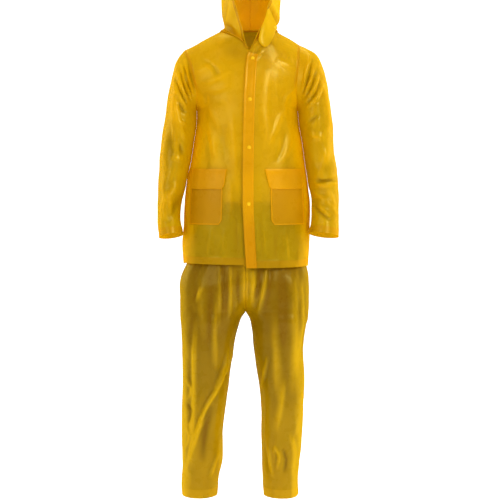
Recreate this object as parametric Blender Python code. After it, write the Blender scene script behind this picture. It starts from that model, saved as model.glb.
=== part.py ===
"""A worn rain suit of PVC film: jacket with its hood up, and trousers, both hollow as on a wearer.

Sizes below are in millimetres and the meshes are made in metres. The origin is the middle of the
neck's base, on the line of the shoulders. +Z is up, the suit faces -Y, and the wearer's left is +X.
Each panel is a grid of points through a few sections, and a wall is built round that grid.
"""

import math

import bpy
import numpy as np

MM = 0.001
RIGHT, LEFT = -1, 1

# The film's wall, the gap at seams, the pitch of the grids, and how far their curves reach.
WALL = 1.6
SEAM = 0.5
DOUBLED = 0.8
PITCH = 40
LEG_PITCH = 46
HALF_COLUMNS = 11
YOKE_HANDLE = 0.4
NECK_HANDLE = 0.34
SHARP_ANGLE = 50
SLEEVE_COLUMNS_ROUND = 20
HOOD_COLUMNS_ROUND = 10

# Torso sections: height, side seams of the right and left, front and back depth at the centre.
TORSO_COLUMNS = ("z", "x_right", "x_left", "y_front", "y_back")
TORSO = (
    (-750, -212, 190, -131, 130),
    (-680, -216, 196, -131, 128),
    (-610, -212, 197, -130, 122),
    (-550, -209, 197, -128, 116),
    (-490, -204, 191, -125, 112),
    (-400, -186, 178, -122, 110),
    (-340, -177, 170, -121, 111),
    (-285, -169, 160, -120, 114),
)
SIDE_Y = 5
JACKET_HEM = {RIGHT: -735, LEFT: -745}
BACK_HEM = -740
HEM_BAND = 23
BAND_EDGE = 1.5

# Armhole rings: shoulder and underarm heights, and x at quarters of the height between them.
ARMHOLE = {
    RIGHT: {"top": -52, "bottom": -243, "x": (-208, -188, -177, -166, -168)},
    LEFT: {"top": -36, "bottom": -243, "x": (163, 160, 153, 151, 157)},
}
ARMHOLE_Y = 4
ARMHOLE_DEPTH = 60

# Yoke rows, from the underarm up: turn on the armhole, the centre's height and depth, lean at the end.
YOKE_COLUMNS = ("turn", "z", "y", "lean")
FRONT_YOKE = (
    (180, -240, -119, 88),
    (150, -212, -117, 62),
    (120, -160, -111, 45),
    (90, -105, -100, 36),
    (72, -72, -89, 30),
)
NECK_COLUMNS = ("turn", "share", "lean")
FRONT_NECK = ((58, 0.0, 24), (42, 0.25, 18), (28, 0.5, 12), (14, 0.8, 6), (0, 1.0, 0))
BACK_YOKE = (
    (180, -240, 117, 88),
    (150, -205, 117, 62),
    (120, -158, 114, 45),
    (90, -110, 107, 36),
    (60, -65, 97, 30),
    (36, -34, 89, 22),
)
SHOULDER_ROLL = (0, 17, -3)

# The neckline's x, y and z from the front V to the centre back, on the right; the left is mirrored.
NECKLINE = (
    (-4, -84, -53),
    (-22, -80, -29),
    (-52, -63, -9),
    (-80, -32, 4),
    (-91, 4, 9),
    (-76, 42, 13),
    (-40, 65, 16),
    (0, 72, 17),
)
NECK_SHOULDER = 4
NECK_PITCH = 6

# The left front's edge, which is also the placket's, and how far the right front laps under it.
EDGE_COLUMNS = ("z", "x")
FRONT_EDGE = ((-750, -9), (-640, -16), (-540, -20), (-370, -19), (-200, -16), (-105, -10), (-53, -2))
PLACKET_WIDTH = 34
PLACKET_COLUMNS = 4
UNDERLAP = 26
UNDERLAP_DEPTH = 5.0
PLACKET_TOP = -60

# Sleeve rings: outer and inner point, depth's middle and half, and how far the back edge hangs lower.
SLEEVE_COLUMNS = ("x_out", "z_out", "x_in", "z_in", "y", "half_depth", "drop")
SLEEVE = {
    RIGHT: (
        (-229, -76, -171.6, -254, 4, 68, 0),
        (-247, -122, -173, -275, 4, 76, 0),
        (-259, -175, -175, -302, 3, 81, 0),
        (-267, -245, -179.5, -335, 2, 83, 0),
        (-277, -305, -183.5, -372, 2, 82, 0),
        (-287, -370, -190, -412, 0, 79, 0),
        (-290, -440, -200, -462, -5, 75, 0),
        (-293, -505, -213.5, -514, -15, 70, 2),
        (-294, -565, -221.5, -562, -28, 65, 6),
        (-293, -610, -220, -602, -40, 61, 9),
        (-291, -629, -216, -619, -46, 60, 10),
        (-290.5, -630.5, -215.6, -620.5, -46.4, 60, 10),
        (-289, -652, -212, -641, -52, 60, 11),
    ),
    LEFT: (
        (190, -46, 160.5, -254, 4, 68, 0),
        (214, -62, 163, -273, 4, 76, 0),
        (236, -108, 166, -295, 3, 81, 0),
        (258, -205, 171, -328, 2, 83, 0),
        (269, -286, 175, -362, 2, 82, 0),
        (275, -370, 181, -405, 0, 79, 0),
        (284, -445, 190.5, -455, -5, 75, 0),
        (288, -508, 201, -508, -15, 70, 2),
        (287, -565, 202, -560, -32, 65, 6),
        (286.5, -608, 200, -600, -46, 61, 9),
        (287, -627, 196.5, -616, -51, 60, 10),
        (287, -628.5, 196.2, -617.5, -51.4, 60, 10),
        (287, -650, 193, -638, -56, 60, 11),
    ),
}
SLEEVE_GAP_TOP = 1.3
SLEEVE_GAP_UNDER = 2.1
SLEEVE_UNDER_DROP = 0.3

# Hood rows, from above the neckline to the crown: the opening's edge, the centre back, the widest x.
HOOD_COLUMNS = ("x_right", "x_left", "y_edge", "z_edge", "y_back", "z_back", "bulge", "reach", "swell")
HOOD = (
    (-17, 24, -82, -12, 78, 30, 146, 112, 26),
    (-28, 45, -82, 32, 89, 58, 138, 120, 12),
    (-39, 57, -85, 75, 102, 99, 124, 116, 4),
    (-50, 65, -88, 117, 112, 142, 112, 110, 0),
    (-59, 72, -91, 165, 115, 192, 110, 110, 0),
    (-61, 72, -93, 210, 106, 240, 102, 110, 0),
    (-54, 63, -94, 248, 78, 278, 84, 104, 4),
    (-37, 44, -94, 273, 30, 298, 58, 82, 6),
    (-16, 21, -93, 287, -32, 303, 30, 46, 4),
    (0, 5, -92, 291, -72, 301, 12, 16, 1),
)
HOOD_X = 3
HOOD_BAND = 20
HOOD_LIFT = 2.6
HOOD_FLARE = 0.55
HOOD_BACKWARD = 0.75
HOOD_PATH_POINTS = 60
STITCH_SHARE = 0.12

# Chin flap rows, from its fold to its round end: the side at the hood's edge and the far side.
FLAP_COLUMNS = ("x_edge", "z_edge", "y_edge", "x_far", "z_far", "y_far")
CHIN_FLAP = (
    (58, 70, -87.2, 65, 75, -80.6),
    (51, 46, -85, 76, 50, -68),
    (40.3, 18, -83.6, 86, 28, -56),
    (33, -6, -86, 84, 5, -58),
    (31, -27, -88, 76, -16, -66),
    (39, -41, -88.5, 67, -34, -77),
    (50, -47, -88.5, 58, -46, -86),
)
TAB_COLUMNS = 5
TAB_BULGE = 2

# Pockets and flaps on the fronts, from the bottom up: heights, and x at the inner and outer ends.
POCKET_HEIGHTS = (-609, -594, -520, -452)
POCKET_INNER = {RIGHT: (-96, -86, -84, -84), LEFT: (80, 70, 68, 68)}
POCKET_OUTER = {RIGHT: (-190, -191, -188, -182), LEFT: (176, 177, 174, 168)}
FLAP_HEIGHTS = (-496, -432)
FLAP_INNER = {RIGHT: (-81, -70), LEFT: (66, 50)}
FLAP_OUTER = {RIGHT: (-187, -184), LEFT: (174, 172)}
LAID_GAP = 1.8
FLAP_GAP = 1.1
LEAST_STEP = 5

# Snaps: heights of the placket's four, and the turned profile of one as radius and height.
SNAP_HEIGHTS = (-84, -212, -362, -540)
SNAP_PROFILE = ((6.2, 0.0), (6.2, 0.9), (5.2, 1.7), (3.0, 2.2))
SNAP_SIDES = 14
CHIN_SNAP = (83, 17)
SEAT_SLACK = 0.4

# Trouser rows, hem to waist: heights at the inner and outer ends, inseam or centre, side seams.
LEG_COLUMNS = ("z_in", "z_out", "in_right", "in_left", "out_right", "out_left")
LEG = (
    (-1498, -1498, -106, 50, -219, 163),
    (-1469, -1469, -104, 48, -220, 162),
    (-1467, -1467, -104, 48, -220, 162),
    (-1400, -1400, -95, 45, -219, 163),
    (-1326, -1326, -90, 43, -218, 171),
    (-1222, -1222, -79, 42, -217, 177),
    (-1118, -1118, -66, 32, -215, 179),
    (-1014, -1014, -52, 17, -218, 177),
    (-950, -950, -38, 9, -221, 185),
    (-912, -916, -23, 0, -223, 191),
    (-894, -896, -13, -9.5, -224, 192),
    (-880, -880, -11.9, -10.1, -224, 193),
    (-846, -850, -11.4, -10.6, -224, 194),
    (-796, -800, -11.4, -10.6, -223, 194),
    (-766, -768, -11.4, -10.6, -217, 192),
    (-735, -735, -11.4, -10.6, -203, 182),
    (-670, -670, -9.2, -8.8, -185, 170),
    (-600, -600, -6.2, -5.8, -176, 163),
    (-572, -572, -5.2, -4.8, -172, 160),
)
PROFILE_COLUMNS = ("y_in", "lean", "handle_in", "handle_out")
LEG_FRONT = (
    (10, 90, 98, 98),
    (9, 90, 100, 100),
    (9, 90, 100, 100),
    (8, 90, 103, 103),
    (7, 90, 108, 108),
    (6, 90, 114, 114),
    (5, 90, 120, 120),
    (4, 90, 130, 134),
    (4, 90, 136, 142),
    (3, 90, 138, 148),
    (-8, 86, 128, 140),
    (-40, 66, 110, 120),
    (-80, 34, 100, 90),
    (-106, 10, 100, 80),
    (-108, 4, 95, 72),
    (-108, 0, 90, 66),
    (-104, 0, 88, 62),
    (-98, 0, 84, 60),
    (-96, 0, 82, 58),
)
LEG_BACK = (
    (10, 90, 98, 98),
    (9, 90, 102, 102),
    (9, 90, 102, 102),
    (8, 90, 105, 105),
    (7, 90, 108, 108),
    (6, 90, 112, 112),
    (5, 90, 118, 118),
    (4, 90, 132, 132),
    (4, 90, 142, 142),
    (5, 90, 148, 150),
    (18, 86, 140, 146),
    (56, 64, 118, 126),
    (98, 34, 104, 92),
    (122, 10, 103, 85),
    (120, 4, 98, 74),
    (112, 0, 92, 66),
    (104, 0, 88, 62),
    (96, 0, 84, 58),
    (92, 0, 82, 56),
)
WAIST_HEIGHT = 32
WAIST_GATHERS = 44
WAIST_RIPPLE = 1.6

# The largest folds, as lines seen from the front or back: ridges stand out, troughs are negative.
FOLD_COLUMNS = ("x_start", "z_start", "x_end", "z_end", "height", "width", "y")
FRONT_FOLDS = (
    (-150, -262, -70, -400, 5, 20, -1),
    (-152, -290, -122, -400, -6, 18, -1),
    (140, -262, 60, -390, 5, 20, -1),
    (146, -290, 122, -400, -6, 18, -1),
    (84, -650, 98, -745, 6, 16, -1),
    (-52, -640, -60, -735, 5, 18, -1),
)
BACK_FOLDS = (
    (-60, -300, -84, -740, 7, 30, 1),
    (62, -300, 80, -740, 7, 30, 1),
    (0, -420, 4, -740, -6, 34, 1),
)
SLEEVE_FOLDS = (
    (-184, -300, -262, -420, -7, 18, -1),
    (-196, -400, -270, -470, 6, 18, -1),
    (198, -463, 262, -463, -8, 14, -1),
    (186, -330, 262, -200, -6, 18, -1),
    (-190, -420, -270, -430, -8, 20, 1),
    (198, -440, 270, -430, -8, 20, 1),
)
LEG_FRONT_FOLDS = (
    (42, -720, 22, -868, -13, 16, -1),
    (62, -720, 44, -880, 7, 18, -1),
    (-64, -720, -60, -900, 8, 15, -1),
    (-42, -720, -38, -850, -8, 15, -1),
    (-120, -1180, -196, -1440, 6, 18, -1),
    (-150, -1180, -205, -1380, -5, 18, -1),
    (146, -800, 150, -1110, 5, 18, -1),
    (60, -1330, 150, -1420, -6, 18, -1),
)
LEG_BACK_FOLDS = (
    (-120, -900, -100, -1060, 7, 22, 1),
    (104, -900, 90, -1060, 7, 22, 1),
    (-70, -1090, -200, -1130, -7, 20, 1),
    (44, -1100, 160, -1140, -7, 20, 1),
)

# Colours of the film: one layer, doubled layers, the trousers and the snaps.
FILM = (0.72, 0.42, 0.03)
FILM_DOUBLED = (0.66, 0.30, 0.02)
FILM_TROUSERS = (0.42, 0.26, 0.03)
FILM_SNAP = (0.80, 0.52, 0.05)


def clear_scene():
    """Remove whatever the scene holds."""
    for old in list(bpy.data.objects):
        bpy.data.objects.remove(old, do_unlink=True)


def film(name, color):
    """Make a glossy, slightly see-through plastic material."""
    material = bpy.data.materials.new(name)
    material.use_nodes = True
    shader = material.node_tree.nodes["Principled BSDF"]
    shader.inputs["Base Color"].default_value = (*color, 1.0)
    shader.inputs["Roughness"].default_value = 0.32
    shader.inputs["Metallic"].default_value = 0.0
    material.diffuse_color = (*color, 1.0)
    return material


def read(table, columns, name):
    """Give one named column of a table."""
    return [row[columns.index(name)] for row in table]


def curve(start, end, from_start, from_end, count):
    """Give points on a cubic with these two ends and the handles that leave them."""
    t = np.linspace(0, 1, count)[:, None]
    a, d = np.array(start, float), np.array(end, float)
    b, c = a + from_start, d + from_end
    return (1 - t) ** 3 * a + 3 * (1 - t) ** 2 * t * b + 3 * (1 - t) * t**2 * c + t**3 * d


def along(points, places):
    """Give the points at these fractions of a path's length."""
    steps = np.linalg.norm(np.diff(points, axis=0), axis=1)
    run = np.concatenate([[0], np.cumsum(steps)]) / steps.sum()
    return np.stack([np.interp(places, run, points[:, axis]) for axis in range(3)], axis=1)


def loft(keys, pitch):
    """Give rows of points, about a pitch apart, that run smoothly through every key row."""
    keys = np.array(keys, float)
    gaps = np.linalg.norm(np.diff(keys, axis=0), axis=2).mean(axis=1)
    place = np.concatenate([[0], np.cumsum(gaps)])
    slopes = np.gradient(keys, place, axis=0)
    rows = [keys[0]]
    for i, gap in enumerate(gaps):
        parts = max(1, round(gap / pitch))
        for k in range(1, parts + 1):
            t = k / parts
            before = (1 + 2 * t) * (1 - t) ** 2 * keys[i] + t * (1 - t) ** 2 * gap * slopes[i]
            after = t**2 * (3 - 2 * t) * keys[i + 1] - t**2 * (1 - t) * gap * slopes[i + 1]
            rows.append(before + after)
    return np.array(rows)


class Panel:
    """A cloth panel: the middle of its wall as a grid of points, with the outward line at each."""

    def __init__(self, grid, facing, ring=False):
        self.grid = np.array(grid, float)
        self.facing = facing
        self.ring = ring

    def lines(self):
        """Give the outward unit normal at each point."""
        up = np.gradient(self.grid, axis=0)
        if self.ring:
            across = np.roll(self.grid, -1, axis=1) - np.roll(self.grid, 1, axis=1)
        else:
            across = np.gradient(self.grid, axis=1)
        found = np.cross(across, up) * self.facing
        return found / np.linalg.norm(found, axis=2)[:, :, None]

    def moved_out(self, distance):
        """Give the panel's points moved out along their normals, by one distance or one a point."""
        return self.grid + self.lines() * np.broadcast_to(distance, self.grid.shape[:2])[:, :, None]

    def folded(self, folds):
        """Raise soft ridges and press soft troughs along the lines of a table of folds."""
        lines = self.lines()
        flat = self.grid[:, :, [0, 2]]
        lift = np.zeros(self.grid.shape[:2])
        for fold in folds:
            size = dict(zip(FOLD_COLUMNS, fold))
            start = np.array((size["x_start"], size["z_start"]), float)
            run = np.array((size["x_end"], size["z_end"])) - start
            place = ((flat - start) @ run) / (run @ run)
            away = np.linalg.norm(flat - start - np.clip(place, 0, 1)[:, :, None] * run, axis=2)
            fade = np.exp(-((np.abs(place - 0.5) / 0.5) ** 4))
            facing = 1.0 if not self.ring else (lines[:, :, 1] * size.get("y", -1) > 0)
            lift += size["height"] * np.exp(-((away / size["width"]) ** 2)) * fade * facing
        self.grid = self.grid + lines * lift[:, :, None]
        return self


def trimmed(grid, first=0.0, last=0.0, start=0.0, end=0.0):
    """Pull the edges of a grid in: first and last rows, start and end of each row."""
    out = grid.copy()
    for edge, inner, cut in ((0, 1, first), (-1, -2, last)):
        step = grid[inner] - grid[edge]
        out[edge] += cut * step / np.linalg.norm(step, axis=1)[:, None]
    for edge, inner, cut in ((0, 1, start), (-1, -2, end)):
        step = out[:, inner] - out[:, edge]
        out[:, edge] += cut * step / np.linalg.norm(step, axis=1)[:, None]
    return out


def add_object(name, points, faces, material):
    """Make one object from points in millimetres, its faces turned out, shaded smooth."""
    mesh = bpy.data.meshes.new(name)
    mesh.from_pydata([tuple(float(c) * MM for c in p) for p in points], [], faces)
    mesh.materials.append(material)
    mesh.update()
    mesh.shade_smooth()
    mesh.set_sharp_from_angle(angle=math.radians(SHARP_ANGLE))
    placed = bpy.data.objects.new(name, mesh)
    bpy.context.scene.collection.objects.link(placed)
    return placed


def wall(name, panel, material, raised=None):
    """Build a closed wall round a panel; raised lifts chosen points of its outer face."""
    rows, columns = panel.grid.shape[:2]
    lift = np.zeros((rows, columns)) if raised is None else raised
    lines = panel.lines()
    outer = panel.grid + lines * (WALL / 2 + lift)[:, :, None]
    inner = panel.grid - lines * (WALL / 2)
    points = np.concatenate([outer.reshape(-1, 3), inner.reshape(-1, 3)])
    size = rows * columns
    faces = []

    def quad(a, b, c, d):
        faces.append((a, b, c, d) if panel.facing > 0 else (d, c, b, a))

    spans = columns if panel.ring else columns - 1
    for i in range(rows - 1):
        for j in range(spans):
            k = (j + 1) % columns
            a, b, c, d = i * columns + j, i * columns + k, (i + 1) * columns + k, (i + 1) * columns + j
            quad(a, b, c, d)
            quad(size + d, size + c, size + b, size + a)
    for j in range(spans):
        k = (j + 1) % columns
        quad(size + j, size + k, k, j)
        last = (rows - 1) * columns
        quad(last + j, last + k, size + last + k, size + last + j)
    if not panel.ring:
        for i in range(rows - 1):
            a, b = i * columns, (i + 1) * columns
            quad(a, b, size + b, size + a)
            c, d = a + columns - 1, b + columns - 1
            quad(size + c, size + d, d, c)
    return add_object(name, points, faces, material)


def band_lift(panel, first=0, last=0, start=0):
    """Give the lift of a panel's outer face on its doubled rows and columns."""
    lift = np.zeros(panel.grid.shape[:2])
    lift[:first] = DOUBLED
    lift[len(lift) - last :] = DOUBLED
    lift[:, :start] = DOUBLED
    return lift


def torso(name, z):
    """Give a column of the torso's table at this height."""
    return float(np.interp(z, read(TORSO, TORSO_COLUMNS, "z"), read(TORSO, TORSO_COLUMNS, name)))


def side_seam(side, z):
    """Give the point of a side seam at this height."""
    return torso("x_right" if side == RIGHT else "x_left", z), SIDE_Y, z


def edge_x(z):
    """Give x of the left front's free edge."""
    return float(np.interp(z, read(FRONT_EDGE, EDGE_COLUMNS, "z"), read(FRONT_EDGE, EDGE_COLUMNS, "x")))


def armhole(side, turn):
    """Give a point of the armhole: turn is 0 at the shoulder, 90 in front, 180 under the arm."""
    hole = ARMHOLE[side]
    share = (1 - math.cos(math.radians(turn))) / 2
    x = np.interp(share, np.linspace(0, 1, len(hole["x"])), hole["x"])
    y = ARMHOLE_Y - ARMHOLE_DEPTH * math.sin(math.radians(turn))
    return np.array([x, y, hole["top"] + share * (hole["bottom"] - hole["top"])])


def neck_path():
    """Give the neckline's right half as a smooth path, from the front V to the centre back."""
    return loft(np.array(NECKLINE, float)[:, None, :], NECK_PITCH)[:, 0]


def neckline(side, share):
    """Give a point of the neckline: share is 0 at the front V, 1 at the centre back."""
    return along(neck_path(), [share])[0] * np.array([-side, 1, 1])


def neck_shoulder_share():
    """Give the share of the neckline at which the shoulder seam meets it."""
    path = neck_path()
    steps = np.linalg.norm(np.diff(path, axis=0), axis=1)
    nearest = np.linalg.norm(path - np.array(NECKLINE[NECK_SHOULDER]), axis=1).argmin()
    return steps[:nearest].sum() / steps.sum()


def section(inner, outer, side, facing, lean, lean_in=0.0, share_in=0.45, share_out=0.33):
    """Give a half panel's cross-section: lean turns its end from sideways to front and back."""
    span = math.hypot(outer[0] - inner[0], outer[1] - inner[1])
    rise = np.array((0, 0, (outer[2] - inner[2]) / 3))
    turn_in, turn = math.radians(lean_in), math.radians(lean)
    start = span * share_in * np.array([side * math.cos(turn_in), facing * math.sin(turn_in), 0])
    end = span * share_out * np.array([-side * math.cos(turn), facing * math.sin(turn), 0])
    return curve(inner, outer, start + rise, end - rise, HALF_COLUMNS)


def lower_heights(hem):
    """Give the heights of the jacket's rows below the armhole, the hem band's three first."""
    table = [z for z in read(TORSO, TORSO_COLUMNS, "z") if z > hem + 2 * HEM_BAND]
    return [hem, hem + HEM_BAND, hem + HEM_BAND + BAND_EDGE] + table


def jacket_front(side):
    """Give one front, rows from the hem to the shoulder seam, columns from the centre out."""
    under = UNDERLAP if side == RIGHT else 0
    behind = UNDERLAP_DEPTH if side == RIGHT else 0
    rows = []
    for z in lower_heights(JACKET_HEM[side]):
        inner = (edge_x(z) + under, torso("y_front", z) + behind, z)
        rows.append(section(inner, side_seam(side, z), side, -1, 90))
    for row in FRONT_YOKE:
        size = dict(zip(YOKE_COLUMNS, row))
        inner = (edge_x(size["z"]) + under, size["y"] + behind, size["z"])
        outer = armhole(side, size["turn"])
        rows.append(section(inner, outer, side, -1, size["lean"], share_in=YOKE_HANDLE))
    top = neck_shoulder_share()
    for row in FRONT_NECK:
        size = dict(zip(NECK_COLUMNS, row))
        inner = neckline(side, size["share"] * top) + (0, behind * (1 - size["share"]), 0)
        outer = armhole(side, size["turn"])
        rows.append(section(inner, outer, side, -1, size["lean"], size["lean"] / 3, NECK_HANDLE))
    return Panel(loft(rows, PITCH), side)


def jacket_back():
    """Give the back, rows from the hem to the shoulder seams, columns from right to left."""

    def both(half):
        """Join the two halves' rows at the centre."""
        return np.concatenate([half(RIGHT)[::-1], half(LEFT)[1:]])

    keys = []
    for z in lower_heights(BACK_HEM):
        inner = (0, torso("y_back", z), z)
        keys.append(both(lambda side: section(inner, side_seam(side, z), side, 1, 90)))
    for row in BACK_YOKE:
        size = dict(zip(YOKE_COLUMNS, row))
        inner, turn, lean = (0, size["y"], size["z"]), -size["turn"], size["lean"]
        keys.append(both(lambda side: section(inner, armhole(side, turn), side, 1, lean, 0, YOKE_HANDLE)))
    shoulder = neck_shoulder_share()

    def top(side):
        """Give half of the top row: the back neck, then the shoulder seam."""
        middle = HALF_COLUMNS // 2 + 1
        neck = [neckline(side, share) for share in np.linspace(1, shoulder, middle)]
        slope = np.linspace(neck[-1], armhole(side, 0), HALF_COLUMNS - middle + 1)[1:]
        return np.concatenate([neck, slope])

    keys.append(both(top) + SHOULDER_ROLL)
    keys.append(both(top))
    return Panel(loft(keys, PITCH), -1)


def sleeve(side):
    """Give a sleeve, rings from the armhole to the cuff."""
    turns = np.linspace(0, 360, SLEEVE_COLUMNS_ROUND, endpoint=False)
    first = []
    for turn in turns:
        under = (1 - math.cos(math.radians(turn))) / 2
        gap = SLEEVE_GAP_TOP + under * (SLEEVE_GAP_UNDER - SLEEVE_GAP_TOP)
        first.append(armhole(side, turn) + (side * gap, 0, -SLEEVE_UNDER_DROP * under))
    keys = [np.array(first)]
    for row in SLEEVE[side]:
        size = dict(zip(SLEEVE_COLUMNS, row))
        ring = []
        for turn in np.radians(turns):
            share = (1 - math.cos(turn)) / 2
            x = size["x_out"] + share * (size["x_in"] - size["x_out"])
            z = size["z_out"] + share * (size["z_in"] - size["z_out"]) + size["drop"] * math.sin(turn)
            ring.append((x, size["y"] - size["half_depth"] * math.sin(turn), z))
        keys.append(np.array(ring))
    return Panel(loft(keys, PITCH), side, ring=True)


def hood(side):
    """Give one half of the hood, rows from the neckline to the crown, columns from the face edge."""
    base = np.array([neckline(side, share) for share in np.linspace(0, 1, HOOD_PATH_POINTS)])
    paths = [base + (0, 0, HOOD_LIFT)]
    for row in HOOD:
        size = dict(zip(HOOD_COLUMNS, row))
        edge = (size["x_right" if side == RIGHT else "x_left"], size["y_edge"], size["z_edge"])
        back = (HOOD_X, size["y_back"], size["z_back"])
        flare = size["bulge"] * np.array([side * HOOD_FLARE, HOOD_BACKWARD, 0.0]) + (0, 0, size["swell"])
        round_back = np.array([side * size["reach"], 0, size["swell"]])
        paths.append(curve(edge, back, flare, round_back, HOOD_PATH_POINTS))
    keys = []
    for path in paths:
        length = np.linalg.norm(np.diff(path, axis=0), axis=1).sum()
        band = min(HOOD_BAND / length, 0.3)
        inside = np.linspace(band, 1, HOOD_COLUMNS_ROUND)[1:]
        stitch = band + (inside[0] - band) * STITCH_SHARE
        keys.append(along(path, np.concatenate([[0, band, stitch], inside])))
    return Panel(loft(keys, PITCH), side)


def chin_flap():
    """Give the open tab that lies folded back on the hood and the left front."""
    rows = []
    for row in CHIN_FLAP:
        size = dict(zip(FLAP_COLUMNS, row))
        edge = (size["x_edge"], size["y_edge"], size["z_edge"])
        far = (size["x_far"], size["y_far"], size["z_far"])
        across = size["x_far"] - size["x_edge"]
        rise, fall = (across / 3, -TAB_BULGE, 0), (-across / 3, -across / 9, 0)
        rows.append(curve(edge, far, rise, fall, TAB_COLUMNS))
    return Panel(loft(np.array(rows)[::-1], PITCH), LEFT)


def laid(panel, heights, inner, outer, out):
    """Give a piece laid on a front: its ends at each height, and the front's own points between."""
    levels = list(heights)
    for z in panel.grid[:, 0, 2]:
        if heights[0] < z < heights[-1] and min(abs(z - level) for level in levels) > LEAST_STEP:
            levels.append(z)
    rows, ends = [], []
    for z in sorted(levels):
        rows.append(row_at(panel, z, out))
        ends.append(sorted((np.interp(z, heights, inner), np.interp(z, heights, outer))))
    low = max(end[0] for end in ends) + LEAST_STEP
    high = min(end[1] for end in ends) - LEAST_STEP
    columns = [j for j in range(HALF_COLUMNS) if all(low < row[j, 0] < high for row in rows)]
    grid = []
    for row, (first, last) in zip(rows, ends):
        order = np.argsort(row[:, 0])
        tips = [[np.interp(x, row[order, 0], row[order, k]) for k in range(3)] for x in (first, last)]
        if panel.facing < 0:
            tips.reverse()
        grid.append([tips[0], *row[columns], tips[1]])
    return Panel(grid, panel.facing)


def row_at(panel, z, out):
    """Give the front's row of points at this height, moved out along their normals."""
    heights = panel.grid[:, 0, 2]
    level = int(np.clip(np.searchsorted(heights, z) - 1, 0, len(heights) - 2))
    share = (z - heights[level]) / (heights[level + 1] - heights[level])
    raised = panel.moved_out(out)
    return raised[level] + share * (raised[level + 1] - raised[level])


def placket(front):
    """Give the storm flap, on the left front's edge."""
    rows = []
    for row in front.moved_out(WALL + SEAM + band_lift(front, first=3)):
        if row[0, 2] < PLACKET_TOP:
            length = np.linalg.norm(np.diff(row, axis=0), axis=1).sum()
            rows.append(along(row, np.linspace(0, PLACKET_WIDTH / length, PLACKET_COLUMNS)))
    return Panel(rows, front.facing)


def snap(name, centre, normal, material):
    """Make a snap: a turned profile on a seat that faces along a normal."""
    side = np.cross(normal, (0, 0, 1.0))
    side /= np.linalg.norm(side)
    up = np.cross(side, normal)
    points, faces = [], []
    for radius, height in SNAP_PROFILE:
        for k in range(SNAP_SIDES):
            angle = 2 * math.pi * k / SNAP_SIDES
            round_it = radius * (math.cos(angle) * side + math.sin(angle) * up)
            points.append(centre + height * normal + round_it)
    for i in range(len(SNAP_PROFILE) - 1):
        for k in range(SNAP_SIDES):
            n = (k + 1) % SNAP_SIDES
            a, b = i * SNAP_SIDES, (i + 1) * SNAP_SIDES
            faces.append((a + n, a + k, b + k, b + n))
    faces.append(tuple(range(SNAP_SIDES)))
    last = (len(SNAP_PROFILE) - 1) * SNAP_SIDES
    faces.append(tuple(last + k for k in reversed(range(SNAP_SIDES))))
    return add_object(name, points, faces, material)


def seat(panel, x, z):
    """Give the point just off a panel nearest to this x and height, and the outward line there."""
    flat = panel.grid[:, :, [0, 2]]
    away = np.linalg.norm(flat - (x, z), axis=2)
    i, j = np.unravel_index(away.argmin(), away.shape)
    line = panel.lines()[i, j]
    return panel.grid[i, j] + line * (WALL / 2 + SEAM + SEAT_SLACK), line


def leg(side, profile, facing):
    """Give one trouser panel, rows from the hem to the waistband, columns from right to left."""
    ends = ("in_right", "out_right") if side == RIGHT else ("in_left", "out_left")
    rows = []
    for place, shape in zip(LEG, profile):
        size = dict(zip(LEG_COLUMNS + PROFILE_COLUMNS, place + shape))
        y_out = size["y_in"] if size["lean"] == 90 else SIDE_Y
        inner = (size[ends[0]], size["y_in"], size["z_in"])
        outer = (size[ends[1]], y_out, size["z_out"])
        turn = math.radians(size["lean"])
        start = size["handle_in"] * np.array([side * math.cos(turn), facing * math.sin(turn), 0])
        rows.append(curve(inner, outer, start, np.array([0, facing * size["handle_out"], 0]), HALF_COLUMNS))
    grid = loft(rows, LEG_PITCH)
    return Panel(grid[:, ::-1] if side == RIGHT else grid, -facing)


def waistband(legs):
    """Give the ring of the gathered waist, above the trousers' top rows."""
    top = {key: panel.grid[-1] for key, panel in legs.items()}
    path = np.concatenate(
        [
            top["front", RIGHT],
            top["front", LEFT],
            top["back", LEFT][::-1],
            top["back", RIGHT][::-1],
            top["front", RIGHT][:1],
        ]
    )
    ring = along(path, np.linspace(0, 1, 2 * WAIST_GATHERS, endpoint=False))
    ripple = WAIST_RIPPLE * (-1.0) ** np.arange(len(ring))
    out = ring * (1, 1, 0)
    out /= np.linalg.norm(out, axis=1)[:, None]
    low = ring + (0, 0, SEAM)
    middle = low + out * ripple[:, None] + (0, 0, WAIST_HEIGHT / 2)
    return Panel([low, middle, low + (0, 0, WAIST_HEIGHT)], 1, True)


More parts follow.
